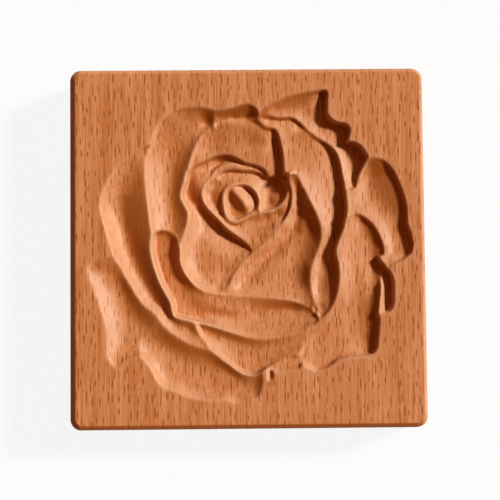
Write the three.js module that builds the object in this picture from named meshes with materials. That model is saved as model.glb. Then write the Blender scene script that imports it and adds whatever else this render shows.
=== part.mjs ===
// A carved rose mould for biscuits: one flat block of beech with a rose sunk into its face.
// Millimetres, +Z up. The block lies on its back with the carved face up, and the rose's top points to +Y.
// The origin is the middle of the back.
import * as THREE from "three";

// The block. Its length runs along the grain.
const WIDTH = 98.4;
const LENGTH = 100;
const THICKNESS = 18;
const CORNER_RADIUS = 3;

// The bevel round the face and round the back: how far it cuts in, and the radius that softens its two edges.
// It leans, so that it is wider on the left and narrower on the right by the lean.
const EDGE_BEVEL = 1.3;
const BEVEL_ROUNDING = 0.5;
const BEVEL_LEAN = 0.35;

// The rose: how deep it goes, and the flat wood left between it and the block's sides and ends.
const CARVING_DEPTH = 7.8;
const SIDE_BORDER = 3.4;
const END_BORDER = 6.2;

// How sharply a hollow's wall drops at its outline before it rounds into the bottom.
const WALL_POWER = 3;

// How finely the surfaces are faceted.
const CORNER_STEPS = 5;
const ROUNDING_STEPS = 2;
const CURVE_STEPS = 4;
const STROKE_SPACING = 2.5;
const OUTLINE_SPACING = 1.2;
const FLOOR_SPACING = 1.7;
const BORDER_SPACING = 7;

const BEECH = { color: 0xc67945, roughness: 0.62, metalness: 0 };

// The rose's petals from the back to the front, each one a hollow cut over the ones before it.
// edge: the petal's outline, as points x, y from the middle of the face. A point given twice is a corner.
// wall: how far in from the outline the hollow reaches its full depth.
// strokes: lines that the bottom of the hollow runs along, as points x, y, depth.
const PETALS = [
  {
    name: "scalloped back petal",
    wall: 1,
    edge: [
      [3.3, 37.7], [4.3, 38.8], [6, 40], [8, 41], [10, 41.8], [12.2, 42.5], [14.5, 43], [17, 43.35],
      [19.5, 43.6], [21.5, 43.8], [22.3, 43.4], [22.5, 42.3], [22.35, 40], [22.3, 38], [22.5, 37],
      [23.2, 35.9], [24.5, 35], [26, 34.55], [27.3, 34.3], [28.2, 33.6], [28.65, 32.5], [28.4, 31.1],
      [28, 29.3], [28, 29.3], [29.2, 29.2], [30.4, 28.8], [31.4, 28.1], [32.3, 27.1], [33, 26],
      [33.5, 25], [33.5, 25], [32.4, 22.5], [31.5, 20.4], [31, 18.8], [30.8, 17.4], [30.2, 16.2],
      [29, 15.4], [26, 12], [22, 12], [20, 18], [17, 25], [12, 30], [5, 31.5], [1.5, 34.5], [2.6, 36.6],
    ],
    strokes: [
      [
        [6.3, 39.4, 0.4], [8.5, 40.5, 0.5], [11, 41.4, 0.6], [14.5, 42.2, 0.7], [17, 42.5, 0.9],
        [19.2, 42.8, 1.4],
      ],
      [[11, 40.4, 1.3], [14.5, 40.9, 1.6], [17, 41.1, 1.9], [18.9, 41.2, 2.4]],
      [
        [8, 39.2, 1.4], [11, 39.4, 1.9], [14.5, 39.6, 2.3], [17, 39.6, 2.7], [18.9, 39.4, 3],
      ],
      [
        [21.2, 42.3, 3.3], [21.2, 40, 3.5], [21, 37.5, 3.4], [21.8, 35.6, 3.4], [23.5, 34, 3.4],
        [26, 33.4, 3.7], [27.3, 32.2, 3.8], [27.2, 30.4, 3.7],
      ],
      [
        [8, 38.2, 1.9], [11, 38, 2.3], [14.4, 37.6, 2.8], [17.4, 35.8, 3.1], [20.2, 33.3, 3.3],
        [23, 31, 3.2], [25.2, 29.2, 3.2], [26.8, 26.8, 3.3], [27.5, 24, 3.4], [27.9, 21, 3.4],
        [28.3, 18.4, 3],
      ],
      [[3.1, 36.4, 1.6], [4.2, 35, 2]],
      [
        [5.2, 37.3, 1.4], [8, 36.9, 1.9], [11, 36.7, 2.1], [14, 36.1, 2.3], [16.4, 34.2, 2.5],
        [19.3, 31.6, 2.6], [22.4, 29.5, 2.7], [24.9, 27.2, 2.7], [26, 24.5, 2.7], [26.8, 21, 2.6],
        [27.2, 18, 2.4], [27.6, 15.6, 2.1],
      ],
      [
        [29.6, 28, 3.6], [31, 26.4, 3.8], [31.3, 24.4, 3.8], [30.2, 22, 3.9], [29.5, 19.6, 3.7],
        [29.2, 17.4, 3],
      ],
    ],
  },
  {
    name: "right leaf",
    wall: 0.8,
    edge: [
      [33.5, 25], [33.5, 25], [34.3, 24.7], [35.3, 24.8], [36.5, 24.5], [37.7, 24.1], [38.8, 23.3],
      [39.8, 22.2], [40.7, 20.8], [41.6, 19], [42.4, 17], [43.1, 15], [43.7, 12.8], [44.1, 10.5],
      [44.2, 8], [44.2, 6.3], [44.6, 5], [45.2, 3.5], [45.6, 2], [45.8, 0.4], [45.6, -0.9], [45, -2.1],
      [44, -3], [42.8, -3.9], [41.5, -4.6], [40.2, -5.1], [39.6, -5.6], [39.3, -6.8], [38.3, -6.4],
      [37.2, -5], [36.2, -4], [34, -4], [30, -2], [26, 1], [25, 8], [26, 13], [27.5, 16], [29.2, 16],
      [30, 16.9], [30.2, 18], [30.5, 19.4], [31.2, 21], [32.2, 22.8],
    ],
    strokes: [
      [[34.3, 24, 0.5], [36, 23.9, 0.6], [37.6, 23.3, 0.9]],
      [[34.6, 22.6, 1.5], [36, 22.2, 1.7], [37.6, 21.6, 1.7]],
      [
        [33.4, 23.2, 0.9], [32.3, 21.4, 1.4], [31.5, 19.6, 1.8], [31, 18, 2], [30.9, 16.6, 2.2],
      ],
      [[33.8, 20, 2.8], [33, 17, 3.1], [33.4, 14, 3]],
      [
        [36, 19, 2.8], [36.4, 14, 3], [37.2, 10, 2.8], [39, 6.6, 2.4], [40, 2.4, 2.4], [40.6, -1.5, 2.2],
      ],
      [[38.4, 18, 2.2], [39.2, 13, 2.5]],
      [
        [39.3, 20.4, 1.7], [41, 16, 1.7], [41.9, 11, 2], [42.4, 6, 2.4], [43.2, 1.5, 2.5],
        [43.4, -1, 2.1],
      ],
      [
        [28.8, 13, 1.8], [30, 10.6, 1.7], [33, 8.9, 1.6], [35.6, 6.8, 1.6], [37.4, 3.9, 1.6],
        [38.5, 0.6, 1.6], [38.3, -2.6, 1.3],
      ],
      [[41, -3.4, 1.2]],
    ],
  },
  {
    name: "small right petal",
    wall: 1,
    edge: [
      [37.4, -4.6], [38.3, -6.2], [39.2, -7.2], [39.8, -8.6], [40.15, -10.2], [40.25, -12], [40.2, -14],
      [40.05, -15.8], [39.6, -17.2], [38.7, -18.1], [37.6, -18.4], [36.5, -18.3], [36.6, -16.5],
      [36.9, -14], [37.1, -11.5], [36.4, -8], [36.4, -5.4],
    ],
    strokes: [
      [[37.4, -6.6, 2.6], [38.4, -9.5, 3.1], [38.8, -13, 3.2], [38.5, -16.4, 3]],
      [[37.5, -10, 2.4], [37.6, -14, 2.2], [37.4, -17, 1.7]],
    ],
  },
  {
    name: "large right petal",
    wall: 0.8,
    edge: [
      [29.5, 9.2], [30.5, 9.3], [32, 8.6], [33.5, 7.5], [35, 6], [36.1, 4.3], [37, 2.3], [37.7, 0.3],
      [37.95, -1.2], [37.7, -2.4], [36.9, -2.7], [36.2, -2.9], [36.2, -2.9], [37.2, -4.6], [37.5, -6],
      [37.2, -8.5], [36.8, -11], [36.5, -14], [36.1, -17], [35.7, -18.6], [36.1, -20], [36.1, -21.5],
      [35.9, -23.5], [35.6, -26], [35.2, -28.3], [34.4, -29.6], [33, -30.1], [31, -30.3], [28, -30.5],
      [26, -31], [24.3, -31.5], [22.7, -32.7], [21, -33.6], [19, -34.1], [17.2, -33.6], [15.8, -32.8],
      [14.8, -32.3], [14, -33.4], [12, -34], [10, -34.4], [8, -34.5], [6.5, -34.1], [5.5, -33.2],
      [4, -30], [4, -24], [10, -20], [16, -16], [20, -8], [22, 0], [25, 6],
    ],
    strokes: [
      [
        [29, 8.2, 1.6], [26.9, 4, 1.6], [25.6, 0, 1.7], [25.3, -3, 1.8], [26, -8, 1.8], [25.2, -13, 1.9],
        [22.8, -18, 2], [20.5, -20.8, 2.2],
      ],
      [
        [29.9, 5, 2.6], [29.9, 0, 3], [30.2, -8, 3], [29.8, -14, 2.8], [28, -19, 2.9], [25, -24, 3],
      ],
      [
        [31.2, 6.8, 2.9], [32.4, 3.6, 3.1], [33.4, 0, 3.4], [33.2, -5, 3.3], [32.9, -10, 2.8],
        [32.6, -15, 2.5], [32.1, -20, 2.8], [31.4, -26, 2.9],
      ],
      [
        [33.9, 4, 3], [35, 1, 3.3], [35.3, -1.6, 3.2], [35, -5, 3.4], [34.8, -9, 3.1],
        [34.3, -14.5, 2.1], [33.8, -20, 2.3], [33.1, -26, 2.6],
      ],
      [
        [32.8, 7.2, 2.6], [34.9, 4.5, 2.4], [36.2, 1.5, 2.6], [36.8, -1.2, 2.5], [36.2, -4.6, 3.1],
        [36, -8, 2.8], [35.8, -11, 2.1], [35.3, -14.5, 1.5], [34.9, -20, 1.6], [34.4, -26, 2],
      ],
      [
        [33, -28.9, 2.4], [28, -29.4, 2.2], [22, -31.4, 2.2], [19, -32.8, 1.9], [16, -31.6, 1.9],
      ],
      [[14, -25, 2.4], [20, -26.5, 2.8]],
      [[8, -27, 2.2], [11, -29.8, 2.3]],
      [[13, -32.4, 1.4], [10, -33.2, 1.3], [7, -33, 1.2]],
    ],
  },
  {
    name: "lower left leaf",
    wall: 1.2,
    edge: [
      [-44.6, -5.5], [-44.4, -4.2], [-43.6, -3.3], [-42, -2.7], [-40, -2.2], [-37, -1.8], [-34, -3],
      [-28, -8], [-24, -14], [-20, -20], [-20, -26], [-26, -29], [-30, -29.6], [-31.5, -30.1],
      [-33, -30.6], [-34.6, -31.3], [-35.8, -32.2], [-36.5, -32.7], [-37.3, -32.3], [-38.3, -31.3],
      [-39.1, -30.2], [-39.4, -29], [-39.3, -27], [-39.2, -25], [-39.4, -22.5], [-39.8, -20],
      [-40.6, -17.5], [-41.5, -15], [-42.5, -12.5], [-43.4, -10], [-44.2, -7.6],
    ],
    strokes: [
      [[-42.9, -4.4, 0.3], [-40.4, -3.7, 0.4], [-37.6, -3.3, 0.5]],
      [
        [-43.3, -6, 0.6], [-42.2, -10, 0.6], [-40.3, -15, 0.7], [-38.8, -20, 0.7], [-38.2, -25, 0.7],
        [-38.1, -28.6, 0.7], [-37, -31, 0.8], [-34, -30, 1], [-31, -28.8, 1.1],
      ],
      [
        [-41.4, -7, 1.3], [-40, -11, 1.6], [-38, -16, 1.8], [-36.8, -21, 1.8], [-36.4, -25, 1.8],
        [-36.2, -28.4, 1.5],
      ],
      [
        [-38.4, -7, 1.8], [-37.2, -11, 2.4], [-35.2, -16, 2.7], [-33.6, -20.6, 2.8], [-32.4, -24.6, 2.5],
        [-32, -27, 1.8],
      ],
      [
        [-36.6, -6.6, 1.7], [-35.2, -9.6, 2.2], [-32.8, -14.4, 2.3], [-30.2, -18.6, 2.3],
        [-28, -21.8, 2.3],
      ],
      [
        [-36, -4.8, 1.2], [-34.8, -7.8, 1.5], [-31.9, -12.8, 1.5], [-28.7, -17.2, 1.5],
        [-25.9, -20.4, 1.4],
      ],
    ],
  },
  {
    name: "petal tip at the bottom",
    wall: 0.6,
    edge: [
      [5.1, -32.8], [5.8, -33.2], [6.4, -34.4], [6.5, -35.6], [6.1, -36.7], [5.6, -37.1], [5.2, -36.4],
      [4.9, -35],
    ],
    strokes: [
      [[5.6, -33.9, 0.8], [5.8, -35.4, 1], [5.6, -36.4, 0.8]],
    ],
  },
  {
    name: "bottom petal",
    wall: 4,
    edge: [
      [-30, -28], [-29.6, -29.8], [-28.5, -31.2], [-27.4, -32.6], [-26.5, -34.2], [-25.7, -35.9],
      [-24.6, -37.4], [-23, -38.6], [-21, -39.3], [-19.3, -39.8], [-17.5, -40.7], [-15.5, -41.4],
      [-13, -41.9], [-10, -42], [-7.5, -41.9], [-5.8, -42.1], [-4.2, -42.8], [-2.6, -43.1], [-1, -42.7],
      [0.7, -42.1], [2, -41.8], [2.8, -41], [3.3, -39.6], [3.7, -38], [3.8, -36.5], [3, -34], [-3, -31],
      [-8, -26], [-16, -22], [-24, -19], [-28, -22], [-30, -25],
    ],
    strokes: [
      [
        [-27.5, -25, 2.6], [-22, -28.3, 2.7], [-17, -31.3, 2.7], [-12, -33.2, 2.6], [-8.7, -34.2, 2.5],
        [-5, -36.6, 2.2], [-1.5, -38, 1.8], [1.6, -38.4, 1.4],
      ],
      [
        [-26, -32, 2], [-22.6, -35.4, 2.3], [-17, -38, 2.3], [-11, -38.8, 2.2], [-5, -39.8, 1.9],
        [0, -40.4, 1.3],
      ],
      [
        [-26.2, -22.6, 2], [-21.8, -25.9, 2.1], [-16.4, -28.9, 2.1], [-11, -30.9, 2.1],
        [-7.6, -32.7, 2.1], [-3.6, -35.6, 2],
      ],
      [
        [-25.7, -20.4, 1.4], [-21.6, -24.1, 1.4], [-16, -27.1, 1.4], [-10.6, -29, 1.3],
        [-6.5, -31.5, 1.1], [-2.5, -34.5, 1.1], [1, -35.6, 1], [3.3, -35, 0.9],
      ],
    ],
  },
  {
    name: "large left petal",
    wall: 1,
    edge: [
      [-26.8, 28.6], [-28.5, 28.3], [-30.3, 27.3], [-31.8, 26.1], [-33.5, 24.8], [-35, 23.6],
      [-36.6, 22.1], [-37.8, 20.4], [-39, 18.2], [-39.9, 16], [-40.5, 14], [-40.7, 12], [-40.5, 10],
      [-40, 8], [-39.4, 6], [-38.8, 4], [-38.2, 2], [-37.6, 0], [-37, -2], [-36, -4.2], [-34.8, -6.5],
      [-33.5, -8.7], [-32.2, -11], [-30.9, -13], [-29.5, -15], [-28, -16.6], [-26.4, -17.8],
      [-25.2, -19], [-24.2, -20.6], [-22.8, -22.2], [-21, -23.6], [-19, -25], [-17, -26.1], [-15, -27.1],
      [-13, -27.8], [-10.5, -28.3], [-9, -26], [-12, -20], [-18, -14], [-20, 0], [-22, 14], [-24, 26],
    ],
    strokes: [
      [
        [-30.2, 26.2, 0.5], [-33, 24.1, 0.6], [-36.5, 20.4, 0.9], [-38.5, 16, 1.4], [-39.3, 12, 1.8],
        [-38.6, 8, 2], [-37.4, 4, 2.1], [-36.2, 0, 2.2], [-34.2, -5, 2.2], [-31.4, -10, 2.1],
        [-28.3, -15, 2], [-25, -17.2, 1.9], [-22, -21.2, 1.9], [-18.3, -23.9, 1.8], [-14.5, -25.9, 1.6],
        [-11.2, -27, 1.3],
      ],
      [
        [-32, 22.4, 1.1], [-35, 17.5, 2], [-36.7, 13.5, 2.9], [-37.2, 10.5, 3.3], [-36.5, 7, 3.5],
        [-35.4, 3, 3.5], [-34.3, -1, 3.5], [-32.3, -5.5, 3.4], [-29.7, -10.3, 3.2], [-26.8, -14.8, 3],
        [-23.8, -17.2, 2.7], [-20.6, -20.6, 2.4], [-16, -23, 2.1], [-13, -24.9, 1.8],
      ],
      [
        [-30.4, 20.5, 1.2], [-31.6, 16, 1.8], [-32.8, 11.5, 2.6], [-32.4, 8, 2.8], [-31.4, 4, 2.8],
        [-30.5, 0, 2.8], [-29.2, -5, 2.8], [-27.2, -9.8, 2.6], [-24.6, -14, 2.4], [-22.6, -16.8, 2.1],
      ],
      [
        [-28.8, 26, 0.8], [-29, 20, 0.9], [-29.2, 14, 1.1], [-28.6, 9, 1.2], [-28, 4, 1.2],
        [-27.6, 0, 1.1], [-26.2, -5, 1], [-25, -9, 0.9], [-22.7, -13.2, 0.8], [-21.4, -17, 0.9],
        [-20.6, -18.9, 1], [-15.5, -20.4, 1.2], [-13.6, -23.4, 1.3],
      ],
    ],
  },
  {
    name: "upper left petal",
    wall: 1,
    edge: [
      [-26.8, 28.6], [-26.4, 29.8], [-25.9, 31.3], [-25.3, 32.9], [-24.5, 34.5], [-23.4, 36],
      [-22, 37.3], [-20.3, 38.3], [-18.4, 39], [-16.2, 39.4], [-14, 39.45], [-12, 39.2], [-10.3, 38.8],
      [-9, 38.35], [-8.4, 37.2], [-8.4, 35.5], [-10, 31], [-12, 26], [-14, 18], [-14, 8], [-16, 0],
      [-18.5, -1.5], [-20, 1], [-22, 3], [-24.5, 3.5], [-26.2, 4.2], [-26.6, 6], [-26.9, 8],
      [-27.2, 10.5], [-27.5, 13], [-27.8, 16], [-28.1, 19], [-28.15, 22], [-28, 25], [-27.3, 26.6],
    ],
    strokes: [
      [[-21.6, 36.6, 0.5], [-18.2, 38.2, 0.5], [-14, 38.6, 0.5], [-10.6, 37.9, 0.9]],
      [[-20.5, 34.8, 1.3], [-17.5, 36.2, 1.3], [-14, 36.8, 1.5], [-11.2, 36.4, 2.5]],
      [[-19, 32.4, 2.4], [-16.4, 33.8, 2.4], [-13.2, 34.6, 2.9], [-11.3, 34.9, 3.3]],
      [
        [-22.8, 35, 1], [-24.9, 30.5, 1.8], [-26.6, 25, 2.4], [-26.9, 20, 2.6], [-26.5, 15, 2.7],
        [-25.9, 9, 2.7], [-25.7, 5.6, 2.6],
      ],
      [
        [-20.8, 32.8, 2], [-22.8, 29, 2.9], [-24.6, 25, 3.4], [-25, 20, 3.6], [-24.8, 15, 3.7],
        [-24.2, 9, 3.7], [-24, 5.8, 3.4],
      ],
      [
        [-16.6, 31.4, 3.2], [-18.8, 28.6, 3.7], [-20.8, 25, 4.2], [-21.4, 20, 4.3], [-21.4, 15, 4.4],
        [-20.6, 9, 4.3], [-20.6, 5.4, 4],
      ],
      [
        [-11.6, 33.4, 2.8], [-14.6, 30.6, 3], [-17, 27.2, 3.4], [-18.6, 23, 3.5], [-19.4, 18, 3.6],
        [-19.4, 14, 3.6], [-18, 9, 3.3], [-18.6, 5, 3.2],
      ],
      [
        [-10, 33.6, 2.3], [-13, 31, 2.4], [-15.4, 27, 2.4], [-16.8, 23, 2.5], [-18, 17, 2.6],
        [-17.6, 13.4, 2.6], [-16.6, 9, 2.5], [-17.6, 4, 2.5], [-19, 0, 2.4],
      ],
    ],
  },
  {
    name: "small top petal",
    wall: 0.8,
    edge: [
      [-9, 38.4], [-7.2, 38.55], [-5.5, 38.8], [-4, 39.3], [-2.4, 39.8], [-1, 40.1], [0.3, 40.1],
      [1.6, 39.6], [2.5, 38.8], [3.1, 37.8], [3.3, 36.8], [2.8, 35.6], [-2, 33], [-8, 33], [-9.3, 35.5],
    ],
    strokes: [
      [
        [-8.3, 37.7, 0.8], [-7, 38, 0.6], [-4, 38.7, 0.6], [-1, 39.5, 0.6], [0.8, 39.5, 0.8],
      ],
      [
        [-8.2, 36.6, 1.7], [-6.4, 37, 2], [-3.6, 37.6, 2.3], [-0.4, 38.4, 1.8], [1.2, 38.2, 1.6],
        [2.2, 37.4, 1.8],
      ],
      [
        [-8.3, 35.2, 2.3], [-6.4, 36, 2.7], [-3.6, 36.4, 3.3], [0, 36.8, 2.8], [2, 36.4, 2.2],
      ],
      [[-6, 35, 2.9], [0, 35.2, 2.9], [3, 35, 2.2]],
    ],
  },
  {
    name: "middle back petal",
    wall: 1,
    edge: [
      [-16, 22.3], [-15.7, 24], [-15.1, 26], [-14.4, 28], [-13.6, 29.7], [-12.6, 31.3], [-11.3, 32.6],
      [-9.8, 33.7], [-8.3, 34.7], [-6.8, 35.4], [-5.2, 35.9], [-3.5, 36.2], [-1.5, 36.3], [0.5, 36.2],
      [2.3, 36], [3.6, 35.2], [4.7, 34.2], [5.8, 33.8], [7.3, 33.6], [8.6, 32.8], [9.5, 31],
      [10.1, 28.5], [10.6, 25], [10.9, 22], [11.2, 19], [6, 16], [0, 18], [-10, 18], [-15.5, 20],
    ],
    strokes: [
      [
        [-14.2, 25, 3.3], [-12.4, 30, 3.1], [-10, 32.4, 2.9], [-7, 34.2, 2.7], [-3, 35.1, 2.6],
        [0, 35.4, 2.8], [2, 35.1, 2.8], [3.4, 34.2, 2.8], [4.7, 33.3, 2.9], [5.7, 32.8, 3.1],
      ],
      [[-9, 31, 3.4], [-5, 33.2, 3], [0, 33.4, 3], [3.2, 32.3, 3], [5.4, 31.2, 3.4]],
      [[-9.5, 27.6, 3.9], [-5, 29.5, 3.6], [0, 30, 3.7], [4, 28.6, 4.1]],
      [[7, 30.4, 4.4], [7.5, 27, 4.8], [7.7, 22, 5.2]],
      [
        [-14.5, 23.8, 3.6], [-10, 25.9, 3.9], [-5, 26.9, 4], [0, 24.8, 4.4], [4, 23, 4.8],
        [6, 20.5, 5.3],
      ],
    ],
  },
  {
    name: "lower front petal",
    wall: 0.9,
    edge: [
      [-15.2, -20], [-14.5, -21.3], [-13.8, -22.8], [-12.9, -24.4], [-11.7, -26], [-10.8, -27.5],
      [-9.8, -28.5], [-8.5, -29.5], [-7, -30.8], [-5.3, -32], [-3.7, -33.2], [-2, -34.4], [-0.5, -34.9],
      [1.2, -35.1], [2.8, -34.7], [4.2, -33.9], [5.6, -33.1], [7.5, -32], [10, -31], [12, -30.4],
      [14, -30.3], [16, -27], [16, -22], [8, -20], [-4, -19], [-12, -18],
    ],
    strokes: [
      [
        [-14.1, -20.4, 1.6], [-9, -22, 1.8], [-4, -23.6, 2.2], [1, -25, 2.5], [5, -25.2, 2.5],
        [10, -24.4, 2.6], [14, -23.2, 2.5],
      ],
      [
        [-13.4, -21.6, 2.4], [-9, -23.2, 2.8], [-4, -24.9, 3.1], [1, -26.3, 3.1], [5, -26.5, 3.1],
        [10, -25.6, 2.9], [14, -24.4, 2.6],
      ],
      [
        [-12, -23.8, 2.8], [-8, -26.4, 3.2], [-3, -28.8, 3.5], [3, -29.6, 3.5], [8, -28.4, 3.1],
        [13.6, -27, 2.5],
      ],
      [
        [-10.8, -26.2, 2.4], [-6.6, -29.4, 2.9], [-2, -32.4, 3.1], [3, -32.8, 2.9], [8, -30.6, 2.3],
        [13, -29.2, 1.8],
      ],
    ],
  },
  {
    name: "crescent petal",
    wall: 1,
    edge: [
      [-26.2, 4], [-25.6, 4.6], [-24.6, 5], [-23.3, 5.15], [-22.2, 5], [-21.1, 4.4], [-20.2, 3.4],
      [-19.4, 1.9], [-18.9, 0.6], [-16, 0], [-12, -4], [0, -8], [14, -10], [17, -13], [18, -16.5],
      [19.7, -19.7], [18.8, -21.3], [17, -22.3], [15, -23], [13, -23.7], [11, -24.2], [9, -24.7],
      [7, -25.1], [5, -25.35], [3, -25.35], [1, -25.1], [-1, -24.6], [-3, -23.9], [-5, -23.2],
      [-7, -22.5], [-9, -21.8], [-11, -21.1], [-13, -20.6], [-15, -20.1], [-17, -19.6], [-19, -19.1],
      [-20.3, -18.6], [-20.3, -18.6], [-20.8, -17], [-21, -15.3], [-21.8, -13.6], [-23, -11.4],
      [-24.1, -9.2], [-25, -6.8], [-25.8, -4.2], [-26.4, -1.4], [-26.55, 1], [-26.4, 2.8],
    ],
    strokes: [
      [
        [-9, -20.3, 4.1], [-3, -22.7, 3.5], [3, -24.2, 3.2], [9, -23.6, 3.2], [14, -22.2, 3.3],
        [17.4, -21, 3.2],
      ],
      [
        [-24.5, 3.2, 5], [-24.4, -1, 5.3], [-23.6, -4, 5.3], [-22.1, -8, 5.2], [-20.2, -12.2, 5.1],
        [-19, -15.8, 5], [-15.6, -18.2, 5], [-9, -19.3, 5.3], [-4, -20.3, 5.4], [0, -19.6, 5.8],
        [3, -18.7, 6.1], [8, -17.5, 6.3], [13, -17.4, 6], [16.4, -17.9, 5],
      ],
      [
        [-22, 2.6, 4.8], [-21.6, -1.5, 4.9], [-20.3, -6.4, 4.8], [-17.3, -10.9, 4.6], [-14, -14.2, 4.4],
        [-9, -16.4, 4.8], [-3, -17.4, 5.3], [2, -16.8, 5.8],
      ],
      [[0, -22, 4.4], [4, -21.2, 4.8], [9, -20.4, 5], [14, -19.8, 4.6], [17, -19.4, 4.1]],
      [
        [-20.4, 2.2, 4], [-19.9, -2.4, 4], [-18.8, -6.7, 4], [-15.8, -10.7, 4], [-12, -12.9, 4.2],
        [-8, -14.1, 4.7], [-3, -14.6, 5], [3, -15.2, 5.3], [8, -15.5, 5.4], [13, -16, 5.4],
        [16.4, -17.1, 4.9],
      ],
      [
        [-19.4, 2, 2.5], [-19, -2.5, 2.4], [-18, -6.4, 2.6], [-15.2, -9.8, 3], [-11.8, -11.4, 3.6],
        [-8, -12.4, 4.2], [-3, -12.9, 4.6], [3, -13.4, 4.6], [8, -13.8, 4.5], [13, -14.7, 4.3],
        [16.2, -15.9, 4.2],
      ],
    ],
  },
  {
    name: "bud, left half",
    wall: 1,
    edge: [
      [-16.3, 22], [-16.9, 20.3], [-17.2, 18.8], [-17.8, 17.2], [-18.2, 15.8], [-18.2, 14.4],
      [-17.6, 13], [-16.9, 11.6], [-16.4, 10.2], [-16.3, 8.8], [-16.5, 7.2], [-17.1, 5.4], [-17.8, 3.4],
      [-18.4, 1.2], [-18.8, -1], [-18.9, -3], [-18.5, -4.8], [-17.7, -6.4], [-16.6, -8], [-15.2, -9.6],
      [-13.6, -10.9], [-11.8, -11.8], [-9.8, -12.2], [-7.8, -12.5], [-6, -12.7], [-3, -12.9], [0, -13.2],
      [3, -13.4], [6, -13.6], [9, -13.9], [11.5, -14.3], [13.8, -14.9], [15.8, -15.7], [17.5, -16.8],
      [18.6, -18.1], [19.5, -17], [20, -8], [20, 4], [16, 14], [11, 20], [6.3, 19.8], [5.6, 21.2],
      [4.5, 22.4], [3, 23.2], [1.3, 23.7], [-0.3, 24], [-1.7, 24.7], [-3.2, 25.5], [-4.8, 26.2],
      [-6.5, 26.4], [-8.5, 26.1], [-10.3, 25.4], [-12.2, 24.5], [-14.2, 23.5],
    ],
    strokes: [
      [
        [-15.8, 10.5, 3.9], [-15.7, 7.6, 4.1], [-16.4, 5, 3.9], [-17.6, 1.5, 3.8], [-18, -2, 3.8],
        [-17.4, -5, 3.9], [-15.6, -8, 4.2], [-13.2, -10.3, 4.6],
      ],
      [
        [-15.8, 20.6, 5.4], [-16.4, 18.4, 6], [-16.9, 15.9, 6.2], [-16.1, 13.2, 6.4], [-15.2, 10.8, 5.9],
        [-14.2, 9.4, 6.5], [-14, 7, 6.2], [-14.8, 4, 5.7], [-15.8, 0, 5.5], [-15.6, -4, 5.5],
        [-13.6, -7.4, 5.6], [-8.5, -11, 5.8],
      ],
      [
        [-14, 20.4, 5.2], [-14.2, 17.6, 5], [-13.7, 14.6, 5.1], [-13.2, 12, 6.2], [-11.8, 9.2, 7.1],
        [-10.2, 7, 7.5], [-8.2, 4.7, 7.6], [-5.4, 2.5, 7.7], [-3, 0.8, 7.4], [-1.4, -0.6, 6.9],
      ],
      [[-12.3, 2.9, 6.4], [-9.4, 0.2, 6.4], [-5.8, -1.9, 6.3]],
      [[-12.5, -2.6, 6.1], [-8, -5, 6.2], [-6.4, -6, 6.2]],
      [
        [-6.8, -10.8, 5.5], [-5.5, -8.3, 5.7], [-4.4, -6.3, 5.8], [-2.9, -4.2, 5.8], [-1.2, -2.5, 5.8],
      ],
      [[-10.6, -11, 5.1], [-7.4, -11.6, 5.3], [-4.4, -12, 5.4]],
      [[-11, -7.4, 5.8], [-6.8, -9, 6]],
      [
        [-14.6, 22.2, 5], [-13, 23.1, 5.3], [-10.4, 24.3, 5.6], [-7, 25.4, 6.2], [-4.6, 25.2, 6.3],
      ],
      [[-13.6, 21.2, 5.4], [-11.8, 22.2, 5.7], [-9.8, 23.3, 6.2], [-7.6, 24.6, 6.8]],
      [[-12.4, 19.8, 5], [-11.2, 21, 5.1]],
      [[-2, 24.1, 6.6], [0.5, 23.3, 6.7], [3, 22.5, 6.9], [4.8, 21.3, 6.9]],
      [[4, -8, 6]],
      [[12, -8, 6]],
      [[3, 0, 6]],
      [[10, 8, 6]],
      [[16, 0, 6]],
    ],
  },
  {
    name: "second layer of the bud",
    wall: 1,
    edge: [
      [-13.1, 15], [-13, 16.4], [-12.5, 17.8], [-11.5, 19], [-10.7, 20], [-10.2, 21.2], [-9.5, 22.4],
      [-8.4, 23.4], [-7, 24.1], [-5.3, 24.5], [-3.7, 24.6], [-2, 24.3], [-0.3, 23.7], [1.3, 23.4],
      [3, 22.9], [4.5, 22], [5.7, 20.8], [6.3, 19.8], [7.5, 19], [10, 20.5], [12, 18], [12.6, 14],
      [12, 11], [10.4, 8], [7, 3.5], [3.5, 0.3], [1, -1.3], [0.6, -0.4], [-0.6, 1], [-2, 2.1],
      [-3.4, 3.1], [-4.8, 4.1], [-6, 5], [-7, 6], [-8.2, 7.4], [-9.3, 8.6], [-10.4, 9.8], [-11.5, 11.1],
      [-12.4, 12.5], [-12.9, 13.8],
    ],
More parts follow.
